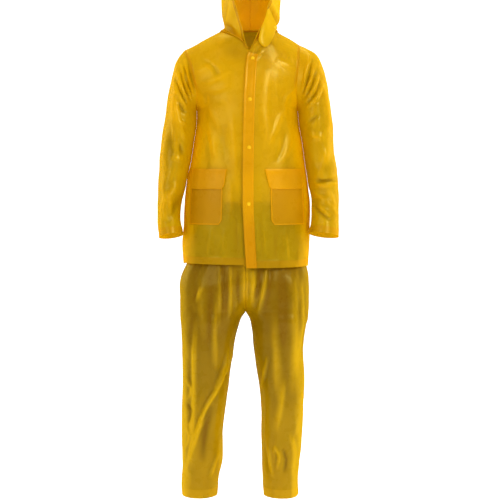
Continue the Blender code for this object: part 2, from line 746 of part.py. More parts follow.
def build():
    """Build every piece of the suit."""
    clear_scene()
    single = film("film", FILM)
    doubled = film("film_doubled", FILM_DOUBLED)
    dark = film("film_trousers", FILM_TROUSERS)
    cap = film("snap", FILM_SNAP)
    half = SEAM / 2
    sides = ((RIGHT, "right"), (LEFT, "left"))
    fronts = {}
    for side, name in sides:
        front = jacket_front(side).folded(FRONT_FOLDS)
        fronts[side] = Panel(trimmed(front.grid, last=half, end=half), front.facing)
        wall(f"jacket_front_{name}", fronts[side], single, band_lift(front, first=2))
    back = jacket_back().folded(BACK_FOLDS)
    back = Panel(trimmed(back.grid, last=half, start=half, end=half), back.facing)
    wall("jacket_back", back, single, band_lift(back, first=2))
    for side, name in sides:
        arm = sleeve(side).folded(SLEEVE_FOLDS)
        wall(f"sleeve_{name}", arm, single, band_lift(arm, last=2))
    for side, name in sides:
        cowl = hood(side)
        cowl = Panel(trimmed(cowl.grid, last=half, end=half), cowl.facing)
        wall(f"hood_{name}", cowl, single, band_lift(cowl, start=2))
    strip = placket(fronts[LEFT])
    wall("placket", strip, doubled)
    for number, height in enumerate(SNAP_HEIGHTS, 1):
        point, line = seat(strip, edge_x(height) + PLACKET_WIDTH / 2, height)
        snap(f"placket_snap_{number}", point, line, cap)
    tab = chin_flap()
    wall("chin_flap", tab, doubled)
    point, line = seat(tab, *CHIN_SNAP)
    snap("chin_snap", point, line, cap)
    for side, name in sides:
        off = WALL + LAID_GAP
        bag = laid(fronts[side], POCKET_HEIGHTS, POCKET_INNER[side], POCKET_OUTER[side], off)
        wall(f"pocket_{name}", bag, doubled)
        off += WALL + FLAP_GAP
        flap = laid(fronts[side], FLAP_HEIGHTS, FLAP_INNER[side], FLAP_OUTER[side], off)
        wall(f"pocket_flap_{name}", flap, doubled)
    legs = {}
    for side, name in sides:
        for part, profile, facing, folds in (
            ("front", LEG_FRONT, -1, LEG_FRONT_FOLDS),
            ("back", LEG_BACK, 1, LEG_BACK_FOLDS),
        ):
            panel = leg(side, profile, facing).folded(folds)
            panel = Panel(trimmed(panel.grid, start=half, end=half), panel.facing)
            legs[part, side] = panel
            wall(f"trouser_{part}_{name}", panel, dark, band_lift(panel, first=2))
    wall("waistband", waistband(legs), dark)


build()
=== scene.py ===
# %% [markdown]
# # A rain suit of translucent film
#
# The suit is a jacket with its hood up and a pair of trousers, both welded from thin PVC film and
# standing as they hang on a wearer. The CAD frame already holds each cut piece as a plain wall.
# Here every piece is made again with the same curves, on a grid fine enough for real creases.
# Sizes are in millimetres, and a mesh is scaled to metres as it is made.

import math

import bpy
import numpy as np
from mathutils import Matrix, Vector, noise


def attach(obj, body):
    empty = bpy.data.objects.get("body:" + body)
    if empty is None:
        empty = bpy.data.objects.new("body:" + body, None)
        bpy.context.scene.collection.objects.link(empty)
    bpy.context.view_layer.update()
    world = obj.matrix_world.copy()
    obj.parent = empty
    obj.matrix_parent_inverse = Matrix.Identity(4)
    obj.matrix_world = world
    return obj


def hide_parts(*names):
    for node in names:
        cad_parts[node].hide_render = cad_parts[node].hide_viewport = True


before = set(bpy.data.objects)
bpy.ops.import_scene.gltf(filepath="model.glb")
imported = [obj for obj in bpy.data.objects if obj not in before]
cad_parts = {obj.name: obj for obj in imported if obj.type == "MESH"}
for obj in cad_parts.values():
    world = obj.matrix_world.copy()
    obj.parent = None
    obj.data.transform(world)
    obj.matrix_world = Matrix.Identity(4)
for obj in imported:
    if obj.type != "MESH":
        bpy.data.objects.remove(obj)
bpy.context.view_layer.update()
MM = 0.001
TINY = 1e-9
RIGHT, LEFT = -1, 1
SIDES = ((RIGHT, "right"), (LEFT, "left"))
print("CAD nodes:", len(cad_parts))


# %% Small helpers
def placed(name, data):
    """A new object in the scene that shows a camera, a lamp or a mesh."""
    item = bpy.data.objects.new(name, data)
    bpy.context.scene.collection.objects.link(item)
    return item


def aimed(item, place, aim):
    """Stand a camera or a lamp at a place and turn it to face a point."""
    item.location = place
    item.rotation_euler = (Vector(aim) - Vector(place)).to_track_quat("-Z", "Y").to_euler()


def by_name(table, columns):
    """The rows of a table, each with its values by name."""
    return [dict(zip(columns, row)) for row in table]


def fade(value, start, end):
    """A share that goes from 0 to 1 between two values and stays there beyond them."""
    return np.clip((value - start) / (end - start), 0, 1)


# %% [markdown]
# ## Camera
#
# The photograph was taken with a long lens from a little above the waist, level with the pockets,
# so the camera stands 4.5 m away. Its lens follows from the width that the frame takes in at the
# suit, and it is tilted, not shifted, so that other views stay true.

# %% Camera
EYE = Vector((0.003, -4.5, -0.43))
AIM = Vector((0.003, 0.0, -0.695))
FRAME_WIDTH = 1.625

camera_data = bpy.data.cameras.new("camera")
camera = placed("camera", camera_data)
aimed(camera, EYE, AIM)
camera_data.lens = camera_data.sensor_width * (AIM - EYE).length / FRAME_WIDTH
bpy.context.scene.camera = camera
print("lens, mm:", round(camera_data.lens, 1))

# %% [markdown]
# ## Shader nodes
#
# A material in Blender is a tree of nodes, in which the output of one feeds an input of the next.
# The same few steps come back in every tree, so each has a small function: a cloudy pattern, a
# colour between two, a relief, a mix of two shaders.

# %% Shader helpers
RAMP_FROM, RAMP_TO = 0.3, 0.7
CLOUD_DETAIL = 2.0


def node(tree, kind, settings=()):
    """A new shader node with some of its inputs set."""
    made = tree.nodes.new(f"ShaderNode{kind}")
    for name, value in dict(settings).items():
        made.inputs[name].default_value = value
    return made


def ranged(tree, source, span, result):
    """A value between the two ends of a span, turned into one between the two ends of a result."""
    ends = ("From Min", "From Max", "To Min", "To Max")
    scale = node(tree, "MapRange", zip(ends, (*span, *result)))
    tree.links.new(source, scale.inputs["Value"])
    return scale.outputs["Result"]


def clouds(tree, scale, detail=CLOUD_DETAIL):
    """A cloudy pattern, fixed to the piece that wears it."""
    texture = node(tree, "TexNoise", {"Scale": scale, "Detail": detail})
    tree.links.new(node(tree, "TexCoord").outputs["Object"], texture.inputs["Vector"])
    return texture.outputs["Fac"]


def ramp(tree, source, low, high):
    """A colour between two, by a value."""
    stops = node(tree, "ValToRGB")
    for stop, place, colour in zip(stops.color_ramp.elements, (RAMP_FROM, RAMP_TO), (low, high)):
        stop.position = place
        stop.color = (*colour, 1.0)
    tree.links.new(source, stops.inputs["Fac"])
    return stops.outputs["Color"]


def blend(tree, share, source, colour):
    """The source colour, turned towards another by a share."""
    mix = node(tree, "Mix")
    mix.data_type = "RGBA"
    ports = {port.identifier: port for port in (*mix.inputs, *mix.outputs)}
    tree.links.new(share, mix.inputs["Factor"])
    tree.links.new(source, ports["A_Color"])
    ports["B_Color"].default_value = (*colour, 1.0)
    return ports["Result_Color"]


def bump(tree, height, distance, under=None):
    """A relief on the surface, on top of another one if it is given."""
    relief = node(tree, "Bump", {"Strength": 1.0, "Distance": distance})
    tree.links.new(height, relief.inputs["Height"])
    if under is not None:
        tree.links.new(under, relief.inputs["Normal"])
    return relief.outputs["Normal"]


def mixed(tree, share, first, second):
    """Two shaders mixed, by a number or by a value that changes over the sheet."""
    mix = node(tree, "MixShader")
    if isinstance(share, float):
        mix.inputs["Fac"].default_value = share
    else:
        tree.links.new(share, mix.inputs["Fac"])
    for port, shader in enumerate((first, second), 1):
        tree.links.new(shader, mix.inputs[port])
    return mix.outputs["Shader"]


# %% [markdown]
# ## Room and light
#
# Film shows its colour best when light comes through it. The room is bright behind the suit and
# dimmer in front of it, as before a lit backdrop. Two soft lamps light the suit from the front, one
# on each side behind makes its edges glow, and one overhead keeps the floor white.

# %% Floor
FLOOR_Z = -1.58
FLOOR_RADIUS = 2.6
FLOOR_SIDES = 128
PAPER_WHITE = (0.93, 0.93, 0.93, 1.0)
PAPER_ROUGHNESS = 0.9


def white_floor():
    """A round floor of white paper."""
    turns = [2 * math.pi * k / FLOOR_SIDES for k in range(FLOOR_SIDES)]
    points = [(FLOOR_RADIUS * math.cos(turn), FLOOR_RADIUS * math.sin(turn), FLOOR_Z) for turn in turns]
    mesh = bpy.data.meshes.new("floor")
    mesh.from_pydata(points, [], [list(range(FLOOR_SIDES))])
    paper = bpy.data.materials.new("paper")
    paper.use_nodes = True
    shader = paper.node_tree.nodes["Principled BSDF"]
    shader.inputs["Base Color"].default_value = PAPER_WHITE
    shader.inputs["Roughness"].default_value = PAPER_ROUGHNESS
    mesh.materials.append(paper)
    return placed("floor", mesh)


white_floor()
print("floor, m across:", 2 * FLOOR_RADIUS)

# %% Lamps
LAMP_COLUMNS = ("name", "place", "aim", "width", "power")
LAMPS = (
    ("key", (2.3, -3.3, 1.3), (0.0, 0.0, -0.5), 1.3, 104),
    ("fill", (-2.6, -3.2, 0.6), (0.0, 0.0, -0.7), 1.8, 38),
    ("edge_right", (-2.4, 1.5, 0.2), (0.0, 0.0, -0.6), 1.6, 26),
    ("edge_left", (2.4, 1.5, 0.2), (0.0, 0.0, -0.6), 1.6, 26),
    ("overhead", (0.0, 1.3, 3.4), (0.0, 0.7, FLOOR_Z), 3.2, 210),
)


def soft_lamp(name, place, aim, width, power):
    """A square soft lamp that faces a point."""
    lamp = bpy.data.lights.new(name, "AREA")
    lamp.size = width
    lamp.energy = power
    aimed(placed(name, lamp), place, aim)


for size in by_name(LAMPS, LAMP_COLUMNS):
    soft_lamp(**size)
print("lamps:", len(LAMPS))

# %% Room
ROOM_FRONT, ROOM_BACK = 0.5, 1.55
BACK_FROM, BACK_TO = -0.3, 0.25

world = bpy.data.worlds.new("room")
world.use_nodes = True
room = world.node_tree
split = node(room, "SeparateXYZ")
room.links.new(node(room, "TexCoord").outputs["Generated"], split.inputs["Vector"])
light = ranged(room, split.outputs["Y"], (BACK_FROM, BACK_TO), (ROOM_FRONT, ROOM_BACK))
room.links.new(light, room.nodes["Background"].inputs["Strength"])
room.nodes["Background"].inputs["Color"].default_value = (1.0, 1.0, 1.0, 1.0)
bpy.context.scene.world = world
bpy.context.scene.view_settings.view_transform = "Standard"
print("room light, front and back:", ROOM_FRONT, ROOM_BACK)

# %% [markdown]
# ## The film
#
# Soft PVC film is coloured right through, a little cloudy, and softly glossy on the outside. Four
# shaders are mixed: a Principled one for the light it throws back, a Glossy one for its sheen, a
# Translucent one for the light that comes through, and a tinted Transparent one for what is dimly
# seen behind. A fine embossed grain and slow unevenness of tone and gloss keep it from looking like
# paint. Light and shade are painted into the tone as well. Where a sheet hangs free of the layers
# behind it, light gets round it, so it is painted brighter, and where it lies close it is painted
# deeper, as shade. So each sheet carries a painted light level: REST_LEVEL is the usual tone, 1
# paints the bright rim of a free edge or a highlight on a high ridge, 0 paints shade at the bottom
# of a fold.

# %% Film material
REST_LEVEL = 0.3
# Painted shade: the bottom of a fold is painted in the deep tone times this tint, and made less clear by
# the next share.
PAINTED_FOLD_TINT = (0.76, 0.62, 0.5)
CLEAR_IN_FOLDS = 0.35
SHEEN_SHARE = 0.021
SHEEN_TINT = (1.0, 0.88, 0.26, 1.0)
GRAIN_SCALE = 700
GRAIN_DEPTH = 0.00004
CLOUD_SCALE = 9
GLOSS_SCALE = 36
GLOSS_LESS, GLOSS_MORE = 0.06, 0.08
COCKLE_SCALE = 55
COCKLE_DETAIL = 1.0
COCKLE_DEPTH = 0.00045


def film(name, through, seen, roughness, deep, pale, free, glow):
    """Cloudy film: shares and roughness, tones (deep, pale, painted highlight), tint of what passes."""
    material = bpy.data.materials.new(name)
    material.use_nodes = True
    tree = material.node_tree
    join = tree.links.new
    # Each point's painted light level, read from the mesh.
    painted_level = node(tree, "Attribute")
    painted_level.attribute_name = "painted_light"
    level = painted_level.outputs["Fac"]

    tone = ramp(tree, clouds(tree, CLOUD_SCALE), deep, pale)
    # Painted light and shade in the tone: toward the highlight tone where the level is high, toward the
    # darkened deep tone where it is low.
    tone = blend(tree, ranged(tree, level, (REST_LEVEL, 1.0), (0.0, 1.0)), tone, free)
    painted_fold_shade = [channel * tint for channel, tint in zip(deep, PAINTED_FOLD_TINT)]
    tone = blend(tree, ranged(tree, level, (0.0, REST_LEVEL), (1.0, 0.0)), tone, painted_fold_shade)
    cockles = bump(tree, clouds(tree, COCKLE_SCALE, COCKLE_DETAIL), COCKLE_DEPTH)
    relief = bump(tree, clouds(tree, GRAIN_SCALE), GRAIN_DEPTH, cockles)
    gloss = (roughness - GLOSS_LESS, roughness + GLOSS_MORE)

    thrown = tree.nodes["Principled BSDF"]
    thrown.inputs["Specular IOR Level"].default_value = 0.0
    join(tone, thrown.inputs["Base Color"])
    sheen = node(tree, "BsdfGlossy", {"Color": SHEEN_TINT})
    join(ranged(tree, clouds(tree, GLOSS_SCALE), (0.0, 1.0), gloss), sheen.inputs["Roughness"])
    passed = node(tree, "BsdfTranslucent", {"Color": (*glow, 1.0)})
    behind = node(tree, "BsdfTransparent", {"Color": (*(math.sqrt(c) for c in glow), 1.0)})
    for shader in (thrown, sheen, passed):
        join(relief, shader.inputs["Normal"])

    # In painted shade the film also lets less light through and shows less behind it, so folds come out
    # darker.
    lit = ranged(tree, level, (0.0, REST_LEVEL), (CLEAR_IN_FOLDS * through, through))
    clear = ranged(tree, level, (0.0, REST_LEVEL), (CLEAR_IN_FOLDS * seen, seen))
    surface = mixed(tree, lit, thrown.outputs["BSDF"], passed.outputs["BSDF"])
    surface = mixed(tree, clear, surface, behind.outputs["BSDF"])
    surface = mixed(tree, SHEEN_SHARE, surface, sheen.outputs["BSDF"])
    join(surface, tree.nodes["Material Output"].inputs["Surface"])
    return material


# %% The suit's finishes
FINISH_COLUMNS = ("name", "through", "seen", "roughness", "deep", "pale", "free", "glow")
# Each finish's third tone is painted light, the highlight tone of free edges and ridges. The hood's copy of
# the film is less clear, so its inside is painted darker as shade, and paler, for the light that no longer
# comes through it.
FINISHES = (
    ("jacket_film", 0.36, 0.44, 0.27,
     (0.42, 0.285, 0.001), (0.59, 0.41, 0.001), (0.88, 0.54, 0.001), (0.94, 0.70, 0.003)),
    ("hood_film", 0.28, 0.14, 0.26,
     (0.62, 0.38, 0.001), (0.80, 0.52, 0.004), (0.92, 0.62, 0.008), (0.94, 0.60, 0.006)),
    ("hem_film", 0.26, 0.36, 0.28,
     (0.44, 0.26, 0.001), (0.57, 0.34, 0.001), (0.84, 0.46, 0.001), (0.94, 0.60, 0.004)),
    ("placket_film", 0.24, 0.22, 0.28,
     (0.66, 0.32, 0.001), (0.80, 0.40, 0.001), (0.90, 0.46, 0.001), (0.94, 0.66, 0.005)),
    ("pocket_film", 0.24, 0.30, 0.28,
     (0.52, 0.26, 0.001), (0.64, 0.33, 0.001), (0.82, 0.42, 0.001), (0.94, 0.66, 0.005)),
    ("trouser_film", 0.24, 0.12, 0.27,
     (0.23, 0.13, 0.0004), (0.32, 0.18, 0.0006), (0.62, 0.37, 0.001), (0.84, 0.54, 0.003)),
    ("trouser_hem_film", 0.24, 0.10, 0.28,
     (0.34, 0.185, 0.0006), (0.44, 0.24, 0.001), (0.64, 0.37, 0.001), (0.84, 0.54, 0.003)),
    ("snap_plastic", 0.05, 0.0, 0.2,
     (0.74, 0.42, 0.006), (0.78, 0.46, 0.008), (0.8, 0.5, 0.02), (0.8, 0.5, 0.02)),
)
finishes = [film(**size) for size in by_name(FINISHES, FINISH_COLUMNS)]
jacket_film, hood_film, hem_film, placket_film = finishes[:4]
pocket_film, trouser_film, trouser_hem_film, snap_plastic = finishes[4:]
print("materials:", [material.name for material in bpy.data.materials])

# %% [markdown]
# ## Curves and panels
#
# A pattern cutter would describe a panel by its edges and a few sections. Each section here is one
# cubic curve, and the rows between them follow a smooth path through every section. The result is
# a grid of points, which is easy to crease, to trim and to lay other pieces on.

# %% Curve helpers
DENSE = 48
ROW_PITCH = 4.0


def read(table, columns, name):
    """One named column of a table."""
    return [row[columns.index(name)] for row in table]


def curve(start, end, from_start, from_end, count=DENSE):
    """Points on a cubic with these two ends and the handles that leave them."""
    t = np.linspace(0, 1, count)[:, None]
    a, d = np.array(start, float), np.array(end, float)
    b, c = a + from_start, d + from_end
    return (1 - t) ** 3 * a + 3 * (1 - t) ** 2 * t * b + 3 * (1 - t) * t**2 * c + t**3 * d


def steps(points, axis=0):
    """The lengths of the steps from point to point, along rows or columns."""
    return np.linalg.norm(np.diff(points, axis=axis), axis=-1)


def along(points, places):
    """The points at these fractions of a path's length."""
    lengths = steps(points)
    run = np.concatenate([[0], np.cumsum(lengths)]) / lengths.sum()
    return np.stack([np.interp(places, run, points[:, axis]) for axis in range(3)], axis=1)


def loft(keys, pitch=ROW_PITCH):
    """Rows of points, about a pitch apart, that run smoothly through every key row."""
    keys = np.array(keys, float)
    gaps = steps(keys).mean(axis=1)
    slopes = np.gradient(keys, np.concatenate([[0], np.cumsum(gaps)]), axis=0)
    rows = [keys[0]]
    for i, gap in enumerate(gaps):
        parts = max(1, round(gap / pitch))
        for k in range(1, parts + 1):
            t = k / parts
            before = (1 + 2 * t) * (1 - t) ** 2 * keys[i] + t * (1 - t) ** 2 * gap * slopes[i]
            after = t**2 * (3 - 2 * t) * keys[i + 1] - t**2 * (1 - t) * gap * slopes[i + 1]
            rows.append(before + after)
    return np.array(rows)


# %% Panel
class Panel:
    """A cloth panel: a grid of points in millimetres, and how far creases have lifted each."""

    def __init__(self, grid, facing, ring=False, lift=0.0):
        self.grid = np.array(grid, float)
        self.facing = facing
        self.ring = ring
        self.shape = self.grid.shape[:2]
        self.x, self.z = self.grid[:, :, 0], self.grid[:, :, 2]
        self.lift = np.broadcast_to(lift, self.shape)

    def remade(self, grid, lift=None):
        """The same panel with other points."""
        return Panel(grid, self.facing, self.ring, self.lift if lift is None else lift)

    def marks(self):
        """A mark for each point, with none of them set."""
        return np.zeros(self.shape, bool)

    def lines(self):
        """The outward unit normal at each point."""
        up = np.gradient(self.grid, axis=0)
        if self.ring:
            across = np.roll(self.grid, -1, axis=1) - np.roll(self.grid, 1, axis=1)
        else:
            across = np.gradient(self.grid, axis=1)
        found = np.cross(across, up) * self.facing
        return found / np.maximum(np.linalg.norm(found, axis=2), TINY)[:, :, None]

    def moved_out(self, distance):
        """The points moved out along their normals, by one distance or one a point."""
        return self.grid + self.lines() * np.broadcast_to(distance, self.shape)[:, :, None]

    def raised(self, distance):
        """The same panel, lifted along its normals."""
        return self.remade(self.moved_out(distance), self.lift + distance)


def spread(grid, columns, start=(), end=()):
    """The grid with even columns, and extra ones at set distances from both ends of each row."""
    rows = []
    for row in grid:
        length = steps(row).sum()
        first = [0.0, *(mark / length for mark in start)]
        last = [*(1 - mark / length for mark in reversed(end)), 1.0]
        inside = np.linspace(first[-1], last[0], columns)[1:-1]
        rows.append(along(row, np.concatenate([first, inside, last])))
    return np.array(rows)


# %% [markdown]
# ## Creases
#
# Film doesn't wrinkle like cotton. It hangs in long soft folds, with a few short sharp ones where
# it is pulled, at the armpits, elbows and knees. The long ones are listed as lines seen from the
# front or back with a height and a width in millimetres. A ridge has a shallow trough on one side,
# because the cloth that it takes up comes from there. Small crumples come from a noise that is
# stretched along the cloth's fall.

# %% Crease helpers
CREASE_COLUMNS = ("line", "height", "width", "lean")
LINE_POINTS = 20
LINE_PITCH = 20
SOFT_SIDE, STEEP_SIDE = 0.8, 1.5
TROUGH_SHARE, TROUGH_AT = 0.3, 1.9
ENDS_ROUND = 0.7
FACE_EDGE = 3


def smooth_line(points):
    """A smooth path through a few points on the front view."""
    path = np.array([(x, 0.0, z) for x, z in points], float)
    if len(path) > 2:
        path = loft(path[:, None, :], LINE_PITCH)[:, 0]
    return along(path, np.linspace(0, 1, LINE_POINTS))[:, [0, 2]]


def creased(panel, creases, face=None):
    """Raise ridges and press troughs. On a tube, face picks its front (-1) or back (1)."""
    lines = panel.lines()
    flat = panel.grid[:, :, [0, 2]]
    lift = np.zeros(flat.shape[:2])
    for size in by_name(creases, CREASE_COLUMNS):
        path = smooth_line(size["line"])
        nearest = np.full(lift.shape, np.inf)
        side = np.zeros(lift.shape)
        place = np.zeros(lift.shape)
        for k, (a, b) in enumerate(zip(path, path[1:])):
            run = b - a
            share = np.clip(((flat - a) @ run) / (run @ run), 0, 1)
            off = flat - a - share[:, :, None] * run
            away = np.linalg.norm(off, axis=2)
            closer = away < nearest
            nearest = np.where(closer, away, nearest)
            side = np.where(closer, np.sign(run[0] * off[:, :, 1] - run[1] * off[:, :, 0]), side)
            place = np.where(closer, (k + share) / (LINE_POINTS - 1), place)
        across = nearest * side / size["width"]
        skewed = across * np.where(across * size["lean"] > 0, STEEP_SIDE, SOFT_SIDE)
        trough = TROUGH_SHARE * np.exp(-((across * np.sign(size["lean"]) + TROUGH_AT) ** 2))
        lift += size["height"] * np.sin(np.pi * place) ** ENDS_ROUND * (np.exp(-(skewed**2)) - trough)
    if face is not None:
        lift *= np.clip(lines[:, :, 1] * face * FACE_EDGE, 0, 1)
    return panel.raised(lift)


# %% Crumples
CRUMPLE_COLUMNS = ("height", "size", "fall")
CRUMPLES = {
    "front": ((2.4, 70, 0.4), (0.7, 24, 0.4)),
    "back": ((2.6, 70, 0.4), (0.8, 24, 0.4)),
    "sleeve": ((3.6, 52, 0.6), (1.0, 20, 0.6)),
    "hood": ((3.0, 48, 0.6),),
    "pocket flap": ((1.0, 30, 0.4),),
    "leg": ((4.0, 66, 0.45), (1.0, 25, 0.5)),
}
SWIRL_SCALE, SWIRL_SHIFT, SWIRL_FALL = 0.7, 31, 0.6
CREST = 0.5


def crumple(point):
    """The height of the crumples at a point: a noise that another one swirls about."""
    x, y, z = point
    swirl = noise.noise(Vector((z * SWIRL_SCALE + SWIRL_SHIFT, x * SWIRL_SCALE, y * SWIRL_SCALE)))
    value = noise.noise(Vector((x + swirl, y + swirl, z + SWIRL_FALL * swirl)))
    return value + CREST * (0.5 - abs(value)) ** 2


def crumpled(panel, kind, where=None):
    """Add soft crumples: height and size in millimetres, stretched along the cloth's fall."""
    for size in by_name(CRUMPLES[kind], CRUMPLE_COLUMNS):
        scaled = panel.grid * (1.0, 1.0, size["fall"]) / size["size"]
        lift = np.array([[crumple(point) for point in row] for row in scaled])
        if where is not None:
            lift *= where(panel)
        panel = panel.remade(panel.moved_out(size["height"] * lift))
    return panel


# %% [markdown]
# ## From a panel to a piece
#
# A piece is the panel's grid twice, once for each face of the film, joined round its edges. Where
# the film lies double, at hems and welds, the outer face stands a little proud and takes the
# deeper finish.

# %% Film piece
FILM = 0.9
DOUBLED = 0.5
SEAM_ALLOWANCE = (1.0, 8.0, 9.0)
# The crease lift, in millimetres, that paints a full highlight on a ridge; troughs are painted as shade the
# same way.
JACKET_HIGHLIGHT_LIFT, TROUSER_HIGHLIGHT_LIFT = 17.0, 9.0
SHARP_FROM = 60
JACKET_CLOTHS, TROUSER_CLOTHS = (jacket_film, hem_film), (trouser_film, trouser_hem_film)


def add_piece(name, points, faces, materials, second=None, free=None):
    """One mesh object in metres that rides on the suit, with each point's painted light level."""
    mesh = bpy.data.meshes.new(name)
    mesh.from_pydata((np.asarray(points) * MM).tolist(), [], [list(map(int, face)) for face in faces])
    for material in materials:
        mesh.materials.append(material)
    if second is not None:
        mesh.polygons.foreach_set("material_index", np.asarray(second, np.int32))
    levels = np.full(len(points), REST_LEVEL) if free is None else free
    painted_light = mesh.attributes.new("painted_light", "FLOAT", "POINT")
    painted_light.data.foreach_set("value", np.asarray(levels, np.float32))
    mesh.shade_smooth()
    mesh.set_sharp_from_angle(angle=math.radians(SHARP_FROM))
    piece = placed(name, mesh)
    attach(piece, "root")
    return piece


def film_piece(name, panel, materials, doubled=None, thickness=FILM, free=0.0, highlight_lift=JACKET_HIGHLIGHT_LIFT):
    """Closed film round a panel: doubled marks bands; a level and the crease lift set its painted light and
    shade.
    """
    rows, columns = panel.shape
    double = panel.marks() if doubled is None else doubled
    lines = panel.lines()
    outer = panel.grid + lines * (thickness / 2 + DOUBLED * double)[:, :, None]
    inner = panel.grid - lines * (thickness / 2)
    points = np.concatenate([outer.reshape(-1, 3), inner.reshape(-1, 3)])
    spans = columns if panel.ring else columns - 1
    i, j = np.meshgrid(np.arange(rows - 1), np.arange(spans), indexing="ij")
    k = (j + 1) % columns
    a, b, c, d = (i * columns + j, i * columns + k, (i + 1) * columns + k, (i + 1) * columns + j)
    quads = np.stack([a, b, c, d], axis=-1).reshape(-1, 4)
    size = rows * columns
    second = np.all(double.reshape(-1)[quads], axis=1)
    j = np.arange(spans)
    k = (j + 1) % columns
    last = (rows - 1) * columns
    rims = [
        np.stack([size + j, size + k, k, j], axis=-1),
        np.stack([last + j, last + k, size + last + k, size + last + j], axis=-1),
    ]
    if not panel.ring:
        a = np.arange(rows - 1) * columns
        b = a + columns
        rims.append(np.stack([a, b, size + b, size + a], axis=-1))
        c, d = a + columns - 1, b + columns - 1
        rims.append(np.stack([size + c, size + d, d, c], axis=-1))
    faces = np.concatenate([quads, quads[:, ::-1] + size, *rims])
    if panel.facing < 0:
        faces = faces[:, ::-1]
    second = np.concatenate([second, second, np.zeros(len(faces) - 2 * len(second), bool)])
    # The painted light level: free parts painted brighter, ridges painted as highlights and troughs as
    # shade, by their lift.
    levels = REST_LEVEL + (1 - REST_LEVEL) * np.broadcast_to(free, (rows, columns))
    levels = np.clip(levels + panel.lift / highlight_lift, 0, 1).reshape(-1)
    return add_piece(name, points, faces, materials, second, np.tile(levels, 2))


def suit_piece(node_name, slot, panel, cloths=JACKET_CLOTHS, doubled=None, **looks):
    """A piece of film that replaces the CAD node it is named for; the slot argument is not used."""
    piece = film_piece(f"{node_name}_film", panel, cloths, doubled, **looks)
    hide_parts(node_name)
    return piece


# %% [markdown]
# ## Painted light and shade: where a sheet turns aside and where it lies close
#
# Where a sheet turns to the side of the suit, light gets round it from behind, so it is painted
# bright. Under the armholes and in front of the trousers it lies close to other film and is painted
# darker, as shade.
# Where sleeve and body lie side by side, both turn back to their plain form, so that no crease of
# one cuts into the other.

# %% Painted light and shade
SIDE_SLOPES = (0.55, 0.95)
TOUCH_Z, TOUCH_SLOPES = (-165, -215, -485, -525), (0.45, 0.8)
TOUCH_FROM = 0.1
# Painted shade under the armholes.
ARMPIT_SHADE_Z, ARMPIT_SHADE_SLOPES = (-205, -235, -285, -345), (0.5, 0.9)
ARMPIT_SHADE = 0.12
# Painted shade where the jacket lies over the trousers.
OVERLAP_SHADE_Z, OVERLAP_SHADE_SLOPES = (-560, -620), (0.4, 0.8)
OVERLAP_SHADE = 0.16


def within(z, levels):
    """1 between the two middle levels, fading out to the top one and the bottom one."""
    return np.interp(-z, [-level for level in levels], (0.0, 1.0, 1.0, 0.0))


def side_strips(panel, side, slopes=SIDE_SLOPES):
    """How far a panel turns to a side by its slope: 0 where it faces forward, 1 where it turns to a side.
    """
    return fade(panel.lines()[:, :, 0] * side, *slopes)


def touching(panel, side):
    """Where sleeve and body lie side by side: 1 on the wall that faces the other piece."""
    return within(panel.z, TOUCH_Z) * side_strips(panel, side, TOUCH_SLOPES)


def kept_clear(panel, plain, share):
    """The panel turned back to its plain form by a share, so that no crease enters its neighbour."""
    grid = panel.grid + (plain.grid - panel.grid) * share[:, :, None]
    return panel.remade(grid, panel.lift * (1 - share))


def painted_armpit_shade(panel, side):
    """Painted shade in the strip under the armhole, where the sleeve lies against the body."""
    reach = within(panel.z, ARMPIT_SHADE_Z) * side_strips(panel, side, ARMPIT_SHADE_SLOPES)
    return reach * (ARMPIT_SHADE + side_strips(panel, side))


def painted_overlap_shade(panel, most=OVERLAP_SHADE):
    """How much painted shade darkens a part of the jacket that lies over the trousers."""
    return most * fade(panel.z, *OVERLAP_SHADE_Z)


# %% [markdown]
# ## Body of the jacket
#
# The body hangs straight from the shoulders and flares to the hem. Its side seams follow the
# outline in the photograph, and its depth is that of a general figure with room to move.

# %% Torso tables
TORSO_COLUMNS = ("z", "x_right", "x_left", "y_front", "y_back")
TORSO = (
    (-750, -212, 190, -131, 130),
    (-680, -216, 196, -131, 128),
    (-610, -212, 197, -130, 122),
    (-550, -209, 197, -128, 116),
    (-490, -204, 191, -125, 112),
    (-400, -186, 178, -122, 110),
    (-340, -177, 170, -121, 111),
    (-285, -169, 160, -120, 114),
)
SIDE_Y = 5
JACKET_HEM = {RIGHT: -735, LEFT: -745}
BACK_HEM = -740
HEM_BAND = 23
BAND_EDGE = 1.5
EDGE_COLUMNS = ("z", "x")
FRONT_EDGE = ((-750, -9), (-640, -16), (-540, -20), (-370, -19), (-200, -16), (-105, -10), (-53, -2))
UNDERLAP = 26
UNDERLAP_DEPTH = 5.0


def torso(name, z):
    """A column of the torso's table at this height."""
    return float(np.interp(z, read(TORSO, TORSO_COLUMNS, "z"), read(TORSO, TORSO_COLUMNS, name)))


def side_seam(side, z):
    """The point of a side seam at this height."""
    return torso("x_right" if side == RIGHT else "x_left", z), SIDE_Y, z


def edge_x(z):
    """x of the left front's free edge."""
    return float(np.interp(z, read(FRONT_EDGE, EDGE_COLUMNS, "z"), read(FRONT_EDGE, EDGE_COLUMNS, "x")))


def lower_heights(hem):
    """The heights of the rows below the armhole, the hem band's three first."""
    table = [z for z in read(TORSO, TORSO_COLUMNS, "z") if z > hem + 2 * HEM_BAND]
    return [hem, hem + HEM_BAND, hem + HEM_BAND + BAND_EDGE] + table


# %% Armhole
ARMHOLE = {
    RIGHT: {"top": -52, "bottom": -243, "x": (-208, -188, -177, -166, -168)},
    LEFT: {"top": -36, "bottom": -243, "x": (163, 160, 153, 151, 157)},
}
ARMHOLE_Y = 4
ARMHOLE_DEPTH = 60


